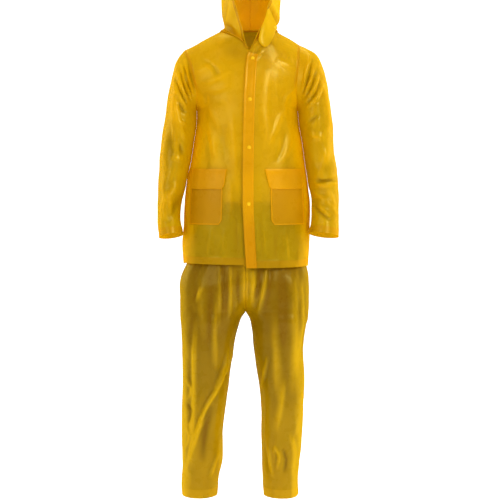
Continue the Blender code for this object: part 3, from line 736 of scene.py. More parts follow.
def armhole(side, turn):
    """A point of the armhole: turn is 0 at the shoulder, 90 in front, 180 under the arm."""
    hole = ARMHOLE[side]
    share = (1 - math.cos(math.radians(turn))) / 2
    x = np.interp(share, np.linspace(0, 1, len(hole["x"])), hole["x"])
    y = ARMHOLE_Y - ARMHOLE_DEPTH * math.sin(math.radians(turn))
    return np.array([x, y, hole["top"] + share * (hole["bottom"] - hole["top"])])


# %% Neckline
NECKLINE = (
    (-4, -84, -53),
    (-22, -80, -29),
    (-52, -63, -9),
    (-80, -32, 4),
    (-91, 4, 9),
    (-76, 42, 13),
    (-40, 65, 16),
    (0, 72, 17),
)
NECK_SHOULDER = 4
NECK_PITCH = 6
NECK_PATH = loft(np.array(NECKLINE, float)[:, None, :], NECK_PITCH)[:, 0]


def neckline(side, share):
    """A point of the neckline: share is 0 at the front V, 1 at the centre back."""
    return along(NECK_PATH, [share])[0] * np.array([-side, 1, 1])


def neck_shoulder_share():
    """The share of the neckline at which the shoulder seam meets it."""
    lengths = steps(NECK_PATH)
    nearest = np.linalg.norm(NECK_PATH - np.array(NECKLINE[NECK_SHOULDER]), axis=1).argmin()
    return lengths[:nearest].sum() / lengths.sum()


# %% Sections of the body
YOKE_COLUMNS = ("turn", "z", "y", "lean")
FRONT_YOKE = (
    (180, -240, -119, 88),
    (150, -212, -117, 62),
    (120, -160, -111, 45),
    (90, -105, -100, 36),
    (72, -72, -89, 30),
)
NECK_COLUMNS = ("turn", "share", "lean")
FRONT_NECK = ((58, 0.0, 24), (42, 0.25, 18), (28, 0.5, 12), (14, 0.8, 6), (0, 1.0, 0))
BACK_YOKE = (
    (180, -240, 117, 88),
    (150, -205, 117, 62),
    (120, -158, 114, 45),
    (90, -110, 107, 36),
    (60, -65, 97, 30),
    (36, -34, 89, 22),
)
SHOULDER_ROLL = (0, 17, -3)
HANDLE_IN, HANDLE_OUT = 0.45, 0.33
YOKE_HANDLE = 0.4
NECK_HANDLE = 0.34
FRONT_ACROSS, BACK_ACROSS = 64, 110
FRONT_RIM = (1.0,)


def section(inner, outer, side, facing, lean, lean_in=0.0, share_in=HANDLE_IN):
    """A half panel's cross-section: lean turns its end from sideways to front and back."""
    span = math.hypot(outer[0] - inner[0], outer[1] - inner[1])
    rise = np.array((0, 0, (outer[2] - inner[2]) / 3))
    turn_in, turn = math.radians(lean_in), math.radians(lean)
    start = span * share_in * np.array([side * math.cos(turn_in), facing * math.sin(turn_in), 0])
    end = span * HANDLE_OUT * np.array([-side * math.cos(turn), facing * math.sin(turn), 0])
    return curve(inner, outer, start + rise, end - rise)


def jacket_front(side):
    """One front, rows from the hem to the shoulder seam, columns from the centre out."""
    under = UNDERLAP if side == RIGHT else 0
    behind = UNDERLAP_DEPTH if side == RIGHT else 0
    rows = []
    for z in lower_heights(JACKET_HEM[side]):
        inner = (edge_x(z) + under, torso("y_front", z) + behind, z)
        rows.append(section(inner, side_seam(side, z), side, -1, 90))
    for size in by_name(FRONT_YOKE, YOKE_COLUMNS):
        inner = (edge_x(size["z"]) + under, size["y"] + behind, size["z"])
        outer = armhole(side, size["turn"])
        rows.append(section(inner, outer, side, -1, size["lean"], share_in=YOKE_HANDLE))
    top = neck_shoulder_share()
    for size in by_name(FRONT_NECK, NECK_COLUMNS):
        inner = neckline(side, size["share"] * top) + (0, behind * (1 - size["share"]), 0)
        outer = armhole(side, size["turn"])
        rows.append(section(inner, outer, side, -1, size["lean"], size["lean"] / 3, NECK_HANDLE))
    return Panel(spread(loft(rows), FRONT_ACROSS, FRONT_RIM, SEAM_ALLOWANCE), side)


def jacket_back():
    """The back, rows from the hem to the shoulder seams, columns from right to left."""

    def both(half):
        """A whole row from the two halves that a function gives."""
        return np.concatenate([half(RIGHT)[::-1], half(LEFT)[1:]])

    keys = []
    for z in lower_heights(BACK_HEM):
        inner = (0, torso("y_back", z), z)
        keys.append(both(lambda side: section(inner, side_seam(side, z), side, 1, 90)))
    for size in by_name(BACK_YOKE, YOKE_COLUMNS):
        inner, turn, lean = (0, size["y"], size["z"]), -size["turn"], size["lean"]
        keys.append(both(lambda side: section(inner, armhole(side, turn), side, 1, lean, 0, YOKE_HANDLE)))
    shoulder = neck_shoulder_share()

    def top(side):
        """Half of the top row: the back neck, then the shoulder seam."""
        middle = DENSE // 2 + 1
        neck = [neckline(side, share) for share in np.linspace(1, shoulder, middle)]
        slope = np.linspace(neck[-1], armhole(side, 0), DENSE - middle + 1)[1:]
        return np.concatenate([neck, slope])

    keys.append(both(top) + SHOULDER_ROLL)
    keys.append(both(top))
    return Panel(spread(loft(keys), BACK_ACROSS, SEAM_ALLOWANCE, SEAM_ALLOWANCE), -1)


# %% [markdown]
# The fronts carry the folds that show most: soft verticals down the chest, a fan of short creases
# out of each armpit, and a few drags above the hem.

# %% Front and back creases
FRONT_CREASES = (
    (((-138, -190), (-136, -250), (-146, -312)), -3, 6, -1),
    (((-154, -206), (-118, -252), (-86, -324)), 3.5, 9, 1),
    (((-148, -262), (-134, -320), (-122, -380)), -3, 9, -1),
    (((-140, -280), (-118, -340), (-104, -400)), 3, 9, 1),
    (((-176, -128), (-140, -112), (-106, -94)), 2.5, 11, 1),
    (((-54, -250), (-44, -372), (-35, -500)), 3, 12, 1),
    (((-86, -290), (-78, -420)), -2, 14, 1),
    (((130, -190), (127, -250), (134, -304)), -3, 6, 1),
    (((140, -212), (98, -270), (66, -356)), 3.5, 9, -1),
    (((138, -270), (124, -372), (106, -412)), 4, 10, 1),
    (((120, -300), (104, -380), (80, -418)), -2.5, 10, 1),
    (((150, -118), (122, -100), (84, -84)), 2.5, 11, -1),
    (((60, -110), (54, -240), (62, -380)), 3, 18, 1),
    (((41, -570), (48, -640), (54, -715)), 3.5, 6, 1),
    (((22, -600), (25, -660), (28, -730)), 3, 6, -1),
    (((114, -616), (118, -670), (124, -730)), 3, 7, 1),
    (((82, -620), (84, -670), (82, -720)), -2.5, 9, 1),
    (((-44, -560), (-40, -640), (-35, -727)), -2.5, 9, 1),
    (((-76, -620), (-80, -670), (-86, -727)), 3, 8, 1),
    (((-123, -616), (-126, -670), (-130, -727)), 3, 7, -1),
    (((-60, -450), (-56, -520), (-58, -600)), 2.5, 9, 1),
    (((38, -48), (24, -62), (13, -78)), -3, 4.5, 1),
    (((44, -56), (32, -72), (22, -92)), 2.5, 5, 1),
    (((-150, -84), (-112, -108), (-92, -150)), -2.5, 8, 1),
    (((-150, -168), (-104, -150), (-52, -126)), 2.5, 8, -1),
    (((-146, -184), (-100, -182), (-56, -166)), 2, 9, 1),
    (((150, -176), (128, -196), (108, -240)), 3, 6, 1),
)
BACK_CREASES = (
    (((-60, -240), (-70, -480), (-84, -740)), 6, 26, 1),
    (((62, -240), (70, -500), (80, -740)), 6, 26, -1),
    (((0, -380), (-4, -560), (4, -740)), -5, 28, 1),
    (((-150, -250), (-120, -330), (-100, -430)), 6, 15, 1),
    (((-156, -290), (-140, -360), (-130, -440)), -6, 13, -1),
    (((146, -250), (114, -330), (92, -430)), 6, 15, -1),
    (((150, -290), (134, -360), (122, -440)), -6, 13, 1),
    (((-110, -90), (-60, -130), (0, -142), (60, -130), (104, -84)), 4, 18, 1),
    (((-130, -560), (-120, -640), (-126, -730)), 5, 18, 1),
    (((124, -540), (116, -640), (120, -730)), 5, 18, -1),
)


# %% Bands and flat places
HEM_SLACK = 0.2
POCKET_TOP, POCKET_BOTTOM = -425, -612
POCKET_FADE = 30
POCKET_SIDES = (40, 60)


def hem_band(panel, hem):
    """Marks the rows of the turned-up hem."""
    return panel.z < hem + HEM_BAND + HEM_SLACK


def end_bands(panel, start=False, end=True):
    """Marks the seam allowance's columns at the ends of each row."""
    marked = panel.marks()
    if start:
        marked[:, 1 : len(SEAM_ALLOWANCE)] = True
    if end:
        marked[:, -len(SEAM_ALLOWANCE) : -1] = True
    return marked


def off_pockets(panel):
    """Fades the crumples out under the pockets, which lie flat."""
    inside = fade(np.minimum(POCKET_TOP - panel.z, panel.z - POCKET_BOTTOM), 0, POCKET_FADE)
    return 1 - inside * fade(np.abs(panel.x), *POCKET_SIDES)


# %% Fronts
fronts = {}
for side, name in SIDES:
    plain = jacket_front(side)
    front = crumpled(creased(plain, FRONT_CREASES), "front", off_pockets)
    seam_bands = end_bands(front) & (touching(front, side) < TOUCH_FROM)
    bands = hem_band(front, JACKET_HEM[side]) | seam_bands
    front = kept_clear(front, plain, touching(plain, side))
    # Painted light and shade: sides that turn away painted brighter, the strip under the armhole and the
    # part over the trousers painted darker.
    painted_levels = side_strips(front, side) - painted_armpit_shade(front, side)
    painted_levels -= painted_overlap_shade(front) * (1 - side_strips(front, side, OVERLAP_SHADE_SLOPES))
    suit_piece(f"jacket_front_{name}", "film", front, doubled=bands, free=painted_levels)
    fronts[side] = front
print("fronts:", {name: fronts[side].shape for side, name in SIDES})

# %% Back
NECK_SHADE_Z, NECK_SHADE_X = (-75, -25), (100, 50)
plain = jacket_back()
beside = touching(plain, RIGHT) + touching(plain, LEFT)
back = kept_clear(crumpled(creased(plain, BACK_CREASES), "back"), plain, beside)
# Painted shade under the back neck, and painted light on both sides.
shaded = fade(back.z, *NECK_SHADE_Z) * fade(np.abs(back.x), *NECK_SHADE_X)
painted_levels = side_strips(back, RIGHT) + side_strips(back, LEFT) - shaded
bands = hem_band(back, BACK_HEM) | (end_bands(back, start=True) & (beside < TOUCH_FROM))
suit_piece("jacket_back", "film", back, doubled=bands, free=painted_levels)
print("back:", back.shape)

# %% [markdown]
# ## Sleeves
#
# A sleeve is a tube of rings. Its rings stay level with the cloth's grain, which turns from the
# slanted armhole to the upright cuff, and the elbow lets it bend a little forward.

# %% Sleeve table
SLEEVE_COLUMNS = ("x_out", "z_out", "x_in", "z_in", "y", "half_depth", "drop")
SLEEVE = {
    RIGHT: (
        (-229, -76, -171.6, -254, 4, 68, 0),
        (-247, -122, -173, -275, 4, 76, 0),
        (-259, -175, -175, -302, 3, 81, 0),
        (-267, -245, -179.5, -335, 2, 83, 0),
        (-277, -305, -183.5, -372, 2, 82, 0),
        (-287, -370, -190, -412, 0, 79, 0),
        (-290, -440, -200, -462, -5, 75, 0),
        (-293, -505, -213.5, -514, -15, 70, 2),
        (-294, -565, -221.5, -562, -28, 65, 6),
        (-293, -610, -220, -602, -40, 61, 9),
        (-291, -629, -216, -619, -46, 60, 10),
        (-290.5, -630.5, -215.6, -620.5, -46.4, 60, 10),
        (-289, -652, -212, -641, -52, 60, 11),
    ),
    LEFT: (
        (190, -46, 160.5, -254, 4, 68, 0),
        (214, -62, 163, -273, 4, 76, 0),
        (236, -108, 166, -295, 3, 81, 0),
        (258, -205, 171, -328, 2, 83, 0),
        (269, -286, 175, -362, 2, 82, 0),
        (275, -370, 181, -405, 0, 79, 0),
        (284, -445, 190.5, -455, -5, 75, 0),
        (288, -508, 201, -508, -15, 70, 2),
        (287, -565, 202, -560, -32, 65, 6),
        (286.5, -608, 200, -600, -46, 61, 9),
        (287, -627, 196.5, -616, -51, 60, 10),
        (287, -628.5, 196.2, -617.5, -51.4, 60, 10),
        (287, -650, 193, -638, -56, 60, 11),
    ),
}
SLEEVE_GAP = 1.3
SLEEVE_ROUND = 120
SLEEVE_TURNS = np.linspace(0, 360, SLEEVE_ROUND, endpoint=False)
CUFF_LENGTH = 22


def sleeve(side):
    """A sleeve, rings from the armhole to the cuff."""
    keys = [np.array([armhole(side, turn) + (side * SLEEVE_GAP, 0, 0) for turn in SLEEVE_TURNS])]
    for size in by_name(SLEEVE[side], SLEEVE_COLUMNS):
        ring = []
        for turn in np.radians(SLEEVE_TURNS):
            share = (1 - math.cos(turn)) / 2
            x = size["x_out"] + share * (size["x_in"] - size["x_out"])
            z = size["z_out"] + share * (size["z_in"] - size["z_out"]) + size["drop"] * math.sin(turn)
            ring.append((x, size["y"] - size["half_depth"] * math.sin(turn), z))
        keys.append(np.array(ring))
    return Panel(loft(keys), side, ring=True)


# %% Sleeve creases
SLEEVE_CREASES = {
    RIGHT: (
        (((-206, -84), (-197, -130), (-180, -184), (-174, -212)), 5, 4.5, 1),
        (((-216, -96), (-207, -142), (-188, -196), (-177, -224)), 5, 4.5, 1),
        (((-228, -124), (-214, -170), (-188, -222)), 5, 5, 1),
        (((-236, -160), (-220, -206), (-190, -246)), 3.5, 6, 1),
        (((-200, -72), (-190, -120), (-178, -170), (-173, -206)), -5, 4, 1),
        (((-211, -90), (-202, -136), (-184, -190), (-175, -220)), -6, 4, 1),
        (((-222, -110), (-211, -157), (-188, -210), (-178, -230)), -6, 4, 1),
        (((-234, -142), (-218, -188), (-190, -234)), -5, 4.5, 1),
        (((-236, -150), (-232, -236), (-204, -327), (-184, -350)), 5, 9, 1),
        (((-194, -256), (-210, -244), (-226, -220)), -4, 7, -1),
        (((-178, -284), (-206, -290), (-226, -280)), 4, 7, -1),
        (((-246, -180), (-240, -290), (-232, -370)), 4, 14, -1),
        (((-252, -260), (-248, -350), (-252, -430)), -4, 14, 1),
        (((-222, -348), (-214, -372), (-204, -392)), -6, 8, 1),
        (((-190, -400), (-220, -404), (-250, -396)), 4, 8, 1),
        (((-204, -470), (-240, -500), (-270, -540)), 4, 12, 1),
        (((-272, -486), (-266, -530), (-274, -562), (-262, -598)), 5, 7, 1),
        (((-258, -500), (-254, -548), (-246, -590)), 4, 7, -1),
        (((-216, -520), (-240, -560), (-256, -612)), -4, 11, 1),
    ),
    LEFT: (
        (((196, -66), (180, -123), (167, -191)), 5, 4.5, -1),
        (((210, -96), (194, -152), (170, -208)), 5, 4.5, -1),
        (((222, -130), (204, -182), (170, -224)), 4.5, 5, -1),
        (((232, -160), (214, -208), (174, -242)), 4, 5, -1),
        (((203, -80), (187, -138), (168, -200)), -6, 4, -1),
        (((217, -112), (199, -167), (170, -216)), -5.5, 4, -1),
        (((228, -144), (209, -195), (172, -233)), -5, 4.5, -1),
        (((184, -282), (200, -276), (222, -258)), -4, 7, 1),
        (((172, -310), (206, -330), (240, -334)), 4, 9, -1),
        (((240, -130), (252, -230), (258, -330)), 5, 10, 1),
        (((250, -360), (238, -410), (224, -452)), 5, 10, -1),
        (((196, -464), (232, -470), (282, -462)), -7, 7, 1),
        (((196, -478), (236, -484), (284, -474)), 5, 7, 1),
        (((246, -484), (256, -516), (276, -560)), 5, 7, -1),
        (((220, -548), (238, -568), (258, -582)), 5, 6, -1),
        (((208, -540), (228, -570), (262, -594)), -4, 7, 1),
        (((240, -520), (258, -548), (280, -584)), 4, 6, -1),
        (((206, -500), (222, -520), (246, -534)), 4, 7, -1),
    ),
}
SLEEVE_BACK_CREASES = (
    (((-190, -400), (-230, -424), (-274, -420)), -7, 15, 1),
    (((-186, -440), (-230, -456), (-282, -450)), 5, 14, 1),
    (((-180, -290), (-220, -250), (-244, -190)), 5, 16, 1),
    (((188, -410), (232, -430), (270, -424)), -7, 15, -1),
    (((196, -450), (236, -462), (280, -456)), 5, 14, -1),
    (((170, -290), (206, -250), (228, -180)), 5, 16, -1),
)


# %% Sleeve and body
SLEEVE_CLEARANCE = 1.3
MOST_CLOSED = 7.0
CLOSED_SLOPES = (0.1, 0.9)
HELD_ROWS = 8
CUFF_CRUMPLES = 0.3


def closed_up(arm, side, body):
    """The sleeve with its inner wall brought up to the body's side seam, just clear of it."""
    seam = body.grid[np.argsort(body.grid[:, -1, 2]), -1]
    line = arm.grid[:, SLEEVE_ROUND // 2]
    space = side * (line[:, 0] - np.interp(line[:, 2], seam[:, 2], seam[:, 0])) - SLEEVE_CLEARANCE
    order = np.argsort(line[:, 2])
    z = arm.z
    push = np.clip(np.interp(z, line[order, 2], space[order]), 0, MOST_CLOSED)
    grid = arm.grid.copy()
    grid[:, :, 0] -= side * push * within(z, TOUCH_Z) * side_strips(arm, -side, CLOSED_SLOPES)
    return arm.remade(grid)


def below_armhole(panel):
    """Fades the crumples out at the armhole's weld and the cuff, which hold the tube round."""
    last = panel.shape[0] - 1
    rows = np.arange(last + 1)[:, None]
    return fade(rows, 0, HELD_ROWS) * np.maximum(fade(rows, last, last - HELD_ROWS), CUFF_CRUMPLES)


# %% Sleeves
ARM_PAINTED_LIGHT = 0.6
ARM_PAINTED_SHADE, ARM_PAINTED_SHADE_Z = 0.12, (-150, -230)
SEAM_TURN, SEAM_HALF = 180, 6
sleeves = {}
for side, name in SIDES:
    plain = sleeve(side)
    arm = creased(creased(plain, SLEEVE_CREASES[side], face=-1), SLEEVE_BACK_CREASES, face=1)
    arm = kept_clear(crumpled(arm, "sleeve", below_armhole), plain, touching(plain, -side))
    arm = closed_up(arm, side, fronts[side])
    cuff = arm.marks()
    cuff[-(round(CUFF_LENGTH / ROW_PITCH) + 1) :] = True
    seam = np.abs(SLEEVE_TURNS - SEAM_TURN)[None, :] < SEAM_HALF
    cuff |= seam & (touching(arm, -side) < TOUCH_FROM)
    # Painted light on the sleeve's outer side, and painted shade near the armpit.
    painted_level = ARM_PAINTED_LIGHT * side_strips(arm, side) - ARM_PAINTED_SHADE * fade(arm.z, *ARM_PAINTED_SHADE_Z)
    suit_piece(f"sleeve_{name}", "film", arm, doubled=cuff, free=painted_level)
    sleeves[side] = arm
print("sleeves:", {name: sleeves[side].shape for side, name in SIDES})

# %% [markdown]
# ## Hood
#
# Two halves are welded over the crown. The face edge is turned back on itself to make a casing, so
# it is doubled and stiffer, and the rest bells out behind it.

# %% Hood halves
HOOD_COLUMNS = ("x_right", "x_left", "y_edge", "z_edge", "y_back", "z_back", "bulge", "reach", "swell")
HOOD = (
    (-17, 24, -82, -12, 78, 30, 146, 112, 26),
    (-28, 45, -82, 32, 89, 58, 138, 120, 12),
    (-39, 57, -85, 75, 102, 99, 124, 116, 4),
    (-50, 65, -88, 117, 112, 142, 112, 110, 0),
    (-59, 72, -91, 165, 115, 192, 110, 110, 0),
    (-61, 72, -93, 210, 106, 240, 102, 110, 0),
    (-54, 63, -94, 248, 78, 278, 84, 104, 4),
    (-37, 44, -94, 273, 30, 298, 58, 82, 6),
    (-16, 21, -93, 287, -32, 303, 30, 46, 4),
    (0, 5, -92, 291, -72, 301, 12, 16, 1),
)
HOOD_X = 3
CASING = (1.0, 19.0, 20.5)
HOOD_LIFT = 2.6
HOOD_FLARE = 0.55
HOOD_BACKWARD = 0.75
HOOD_ACROSS = 60
CASING_MOST = 0.4
HOOD_CREASES = (
    (((-84, 20), (-62, 60), (-58, 130)), 4, 11, 1),
    (((-40, -6), (-58, 20), (-84, 36)), -4, 9, -1),
    (((-70, -4), (-76, 40), (-72, 110)), -3, 9, 1),
    (((50, 130), (66, 104), (90, 60), (96, 20)), 5, 10, 1),
    (((62, 84), (76, 52), (92, 30)), -5, 8, -1),
    (((40, -12), (66, 6), (90, 16)), 4, 9, 1),
)


def hood(side):
    """One half of the hood, rows from the neckline to the crown, columns from the face edge."""
    base = np.array([neckline(side, share) for share in np.linspace(0, 1, DENSE)])
    paths = [base + (0, 0, HOOD_LIFT)]
    for size in by_name(HOOD, HOOD_COLUMNS):
        edge = (size["x_right" if side == RIGHT else "x_left"], size["y_edge"], size["z_edge"])
        back_point = (HOOD_X, size["y_back"], size["z_back"])
        flare = size["bulge"] * np.array([side * HOOD_FLARE, HOOD_BACKWARD, 0.0]) + (0, 0, size["swell"])
        round_back = np.array([side * size["reach"], 0, size["swell"]])
        paths.append(curve(edge, back_point, flare, round_back))
    return Panel(loft(paths), side)


# %% Hood
hoods = {}
for side, name in SIDES:
    cowl = hood(side)
    short = steps(cowl.grid, 1).sum(axis=1).min()
    marks = [mark * min(1, CASING_MOST * short / CASING[-1]) for mark in CASING]
    cowl = Panel(spread(cowl.grid, HOOD_ACROSS, marks), side)
    cowl = crumpled(creased(cowl, HOOD_CREASES, face=-1), "hood")
    hoods[side] = cowl
    casing = cowl.marks()
    casing[:, : len(CASING)] = True
    casing[:3] = True
    suit_piece(f"hood_{name}", "film", cowl, (hood_film, hem_film), casing)
print("hood rows:", hoods[LEFT].shape)

# %% [markdown]
# ## Storm flap, snaps and chin tab
#
# The left front's edge carries a doubled flap with four plastic snaps. A tab at the hood's left
# edge would close under the chin. Here it is open and lies folded back.

# %% Storm flap
PLACKET_WIDTH = 34
PLACKET_TOP = -60
PLACKET_OFF = 1.9
PLACKET_MARKS = np.array([0, 1.2, 3.4, 4.2, 9, 14, 19, 24, 29.6, 30.4, 32.6, PLACKET_WIDTH])
PLACKET_WELDS = [1, 2, -3, -2]
PLACKET_FILM = 1.3
PLACKET_OVERLAP_SHADE = 0.3


def storm_flap(front):
    """The doubled strip on the left front's edge."""
    rows = []
    for row in front.moved_out(PLACKET_OFF):
        if row[0, 2] < PLACKET_TOP:
            rows.append(along(row, PLACKET_MARKS / steps(row).sum()))
    return Panel(rows, front.facing)


strip = storm_flap(fronts[LEFT])
welds = strip.marks()
welds[:, PLACKET_WELDS] = True
# Painted shade where the flap lies over the trousers.
darker = painted_overlap_shade(strip, PLACKET_OVERLAP_SHADE)
suit_piece("placket", "film_doubled", strip, (placket_film,), welds, thickness=PLACKET_FILM, free=-darker)
print("storm flap:", strip.shape)

# %% Snap
SNAP_HEIGHTS = (-84, -212, -362, -540)
SNAP_PROFILE = (
    *((6.2, 0.0), (6.3, 0.5), (6.0, 1.1), (5.3, 1.4), (4.7, 1.2)),
    *((4.3, 1.5), (3.2, 2.0), (1.6, 2.3), (0.3, 2.35)),
)
SNAP_SIDES = 36
SNAP_OFF = 0.8


def ring_faces(rings, around):
    """The quads of a tube that has this many rings, each with so many points around."""
    faces = []
    for low in range(0, (rings - 1) * around, around):
        for k in range(around):
            n = (k + 1) % around
            faces.append((low + k, low + n, low + around + n, low + around + k))
    return faces


def seat(panel, x, z):
    """The point just off a panel nearest to this x and height, and the outward line there."""
    away = np.linalg.norm(panel.grid[:, :, [0, 2]] - (x, z), axis=2)
    i, j = np.unravel_index(away.argmin(), away.shape)
    line = panel.lines()[i, j]
    return panel.grid[i, j] + line * SNAP_OFF, line


def snap(name, node_name, centre, line):
    """A turned plastic cap that faces along a line, in place of its CAD node."""
    side = np.cross(line, (0, 0, 1.0))
    side /= np.linalg.norm(side)
    up = np.cross(side, line)
    points = []
    for radius, height in SNAP_PROFILE:
        for k in range(SNAP_SIDES):
            angle = 2 * math.pi * k / SNAP_SIDES
            points.append(centre + height * line + radius * (math.cos(angle) * side + math.sin(angle) * up))
    quads = ring_faces(len(SNAP_PROFILE), SNAP_SIDES)
    faces = [(next_low, low, high, next_high) for low, next_low, next_high, high in quads]
    bottom = len(points)
    last = bottom - SNAP_SIDES
    points += [centre, centre + SNAP_PROFILE[-1][1] * line]
    for k in range(SNAP_SIDES):
        n = (k + 1) % SNAP_SIDES
        faces += [(k, n, bottom), (last + n, last + k, bottom + 1)]
    piece = add_piece(name, points, faces, (snap_plastic,))
    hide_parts(node_name)
    return piece


snaps = []
for number, height in enumerate(SNAP_HEIGHTS, 1):
    point, line = seat(strip, edge_x(height) + PLACKET_WIDTH / 2, height)
    snaps.append(snap(f"snap_cap_{number}", f"placket_snap_{number}", point, line))

# %% Chin tab
FLAP_COLUMNS = ("x_edge", "z_edge", "y_edge", "x_far", "z_far", "y_far")
CHIN_FLAP = (
    (58, 70, -87.2, 65, 75, -80.6),
    (51, 46, -85, 76, 50, -68),
    (40.3, 18, -83.6, 86, 28, -56),
    (33, -6, -86, 84, 5, -58),
    (31, -27, -88, 76, -16, -66),
    (39, -41, -88.5, 67, -34, -77),
    (50, -47, -88.5, 58, -46, -86),
)
TAB_BULGE = 2
TAB_FALL = 9
TAB_POINTS, TAB_PITCH, TAB_ACROSS = 16, 3.0, 14
TAB_RIM = (0.8, 2.2)
TAB_FILM = 1.4
CHIN_SNAP = (83, 17)


def chin_tab():
    """The open tab that lies folded back on the hood and the left front."""
    rows = []
    for size in by_name(CHIN_FLAP, FLAP_COLUMNS):
        edge = (size["x_edge"], size["y_edge"], size["z_edge"])
        far = (size["x_far"], size["y_far"], size["z_far"])
        across = size["x_far"] - size["x_edge"]
        rise, fall = (across / 3, -TAB_BULGE, 0), (-across / 3, -across / TAB_FALL, 0)
        rows.append(curve(edge, far, rise, fall, TAB_POINTS))
    return Panel(spread(loft(np.array(rows)[::-1], TAB_PITCH), TAB_ACROSS, TAB_RIM, TAB_RIM), LEFT)


tab = chin_tab()
suit_piece("chin_flap", "film_doubled", tab, (hood_film,), thickness=TAB_FILM)
snaps.append(snap("snap_cap_chin", "chin_snap", *seat(tab, *CHIN_SNAP)))
print("snaps:", len(snaps))

# %% [markdown]
# ## Pockets
#
# A patch pocket is welded round three sides, and a flap with one slanted end hangs over its mouth.
# Both follow the front that they lie on, so they are made from its own points, moved out.

# %% Laid piece
POCKET_HEIGHTS = (-609, -594, -520, -452)
POCKET_INNER = {RIGHT: (-96, -86, -84, -84), LEFT: (80, 70, 68, 68)}
POCKET_OUTER = {RIGHT: (-190, -191, -188, -182), LEFT: (176, 177, 174, 168)}
FLAP_HEIGHTS = (-496, -493, -486, -432)
FLAP_INNER = {RIGHT: (-90, -84, -79, -70), LEFT: (76, 69, 63.5, 50)}
FLAP_OUTER = {RIGHT: (-187, -187, -187, -184), LEFT: (174, 174, 174, 172)}
POCKET_OFF = 2.2
FLAP_OFF = 5.2
RIM_MARKS = np.array([0.9, 4.0, 4.8])
LAID_ACROSS = 26


def laid(panel, heights, inner, outer, out):
    """A piece laid on a front, between two side lines, its rows about a pitch apart."""
    raised = panel.moved_out(out)
    count = max(2, round((heights[-1] - heights[0]) / ROW_PITCH))
    levels = np.linspace(heights[0], heights[-1], count)
    levels = np.sort(np.concatenate([levels, heights[0] + RIM_MARKS]))
    places = panel.z.mean(axis=1)
    rows = []
    for z in levels:
        level = int(np.clip(np.searchsorted(places, z) - 1, 0, len(places) - 2))
        share = (z - places[level]) / (places[level + 1] - places[level])
        row = raised[level] + share * (raised[level + 1] - raised[level])
        order = np.argsort(row[:, 0])
        ends = sorted((np.interp(z, heights, inner), np.interp(z, heights, outer)))
        wide = ends[1] - ends[0]
        marks = RIM_MARKS / wide
        middle = np.linspace(marks[-1], 1 - marks[-1], LAID_ACROSS)[1:-1]
        shares = np.concatenate([[0], marks, middle, 1 - marks[::-1], [1]])
        x = ends[0] + shares * wide
        line = np.stack([np.interp(x, row[order, 0], row[order, k]) for k in range(3)], axis=1)
        rows.append(line if panel.facing > 0 else line[::-1])
    return Panel(rows, panel.facing)


def rim(panel, top=False):
    """Marks the weld round a laid piece's sides and bottom, and near its top where asked."""
    marked = panel.marks()
    marked[1 : len(RIM_MARKS), 1:-1] = True
    marked[1:, 1 : len(RIM_MARKS)] = True
    marked[1:, -len(RIM_MARKS) : -1] = True
    if top:
        marked[-3:-1, 1:-1] = True
    return marked


# %% Pockets and flaps
# The right pocket and its flap are painted darker, as shade.
POCKET_PAINTED_SHADE = {RIGHT: 0.22, LEFT: 0.0}
for side, name in SIDES:
    front, painted_shade = fronts[side], -POCKET_PAINTED_SHADE[side]
    bag = laid(front, POCKET_HEIGHTS, POCKET_INNER[side], POCKET_OUTER[side], POCKET_OFF)
    suit_piece(f"pocket_{name}", "film_doubled", bag, (pocket_film, placket_film), rim(bag), free=painted_shade)
    lid = laid(front, FLAP_HEIGHTS, FLAP_INNER[side], FLAP_OUTER[side], FLAP_OFF)
    lid = crumpled(lid, "pocket flap")
    suit_piece(f"pocket_flap_{name}", "film_doubled", lid, (placket_film,), rim(lid, top=True), free=painted_shade)
    print(name, "pocket and flap, rows and columns:", bag.shape, lid.shape)

# %% [markdown]
# ## Trousers
#
# Four panels meet at the side seams, the inseams and the centre. The legs are wide tubes that hang
# from the seat in long folds and break over the ankle.

# %% Leg tables
LEG_COLUMNS = ("z_in", "z_out", "in_right", "in_left", "out_right", "out_left")
LEG = (
    (-1498, -1498, -106, 50, -219, 163),
    (-1469, -1469, -104, 48, -220, 162),
    (-1467, -1467, -104, 48, -220, 162),
    (-1400, -1400, -95, 45, -219, 163),
    (-1326, -1326, -90, 43, -218, 171),
    (-1222, -1222, -79, 42, -217, 177),
    (-1118, -1118, -66, 32, -215, 179),
    (-1014, -1014, -52, 17, -218, 177),
    (-950, -950, -38, 9, -221, 185),
    (-912, -916, -23, 0, -223, 191),
    (-894, -896, -13, -9.5, -224, 192),
    (-880, -880, -11.9, -10.1, -224, 193),
    (-846, -850, -11.4, -10.6, -224, 194),
    (-796, -800, -11.4, -10.6, -223, 194),
    (-766, -768, -11.4, -10.6, -217, 192),
    (-735, -735, -11.4, -10.6, -203, 182),
    (-670, -670, -9.2, -8.8, -185, 170),
    (-600, -600, -6.2, -5.8, -176, 163),
    (-572, -572, -5.2, -4.8, -172, 160),
)
PROFILE_COLUMNS = ("y_in", "lean", "handle_in", "handle_out")
LEG_FRONT = (
    (10, 90, 98, 98),
    (9, 90, 100, 100),
    (9, 90, 100, 100),
    (8, 90, 103, 103),
    (7, 90, 108, 108),
    (6, 90, 114, 114),
    (5, 90, 120, 120),
    (4, 90, 130, 134),
    (4, 90, 136, 142),
    (3, 90, 138, 148),
    (-8, 86, 128, 140),
    (-40, 66, 110, 120),
    (-80, 34, 100, 90),
    (-106, 10, 100, 80),
    (-108, 4, 95, 72),
    (-108, 0, 90, 66),
    (-104, 0, 88, 62),
    (-98, 0, 84, 60),
    (-96, 0, 82, 58),
)
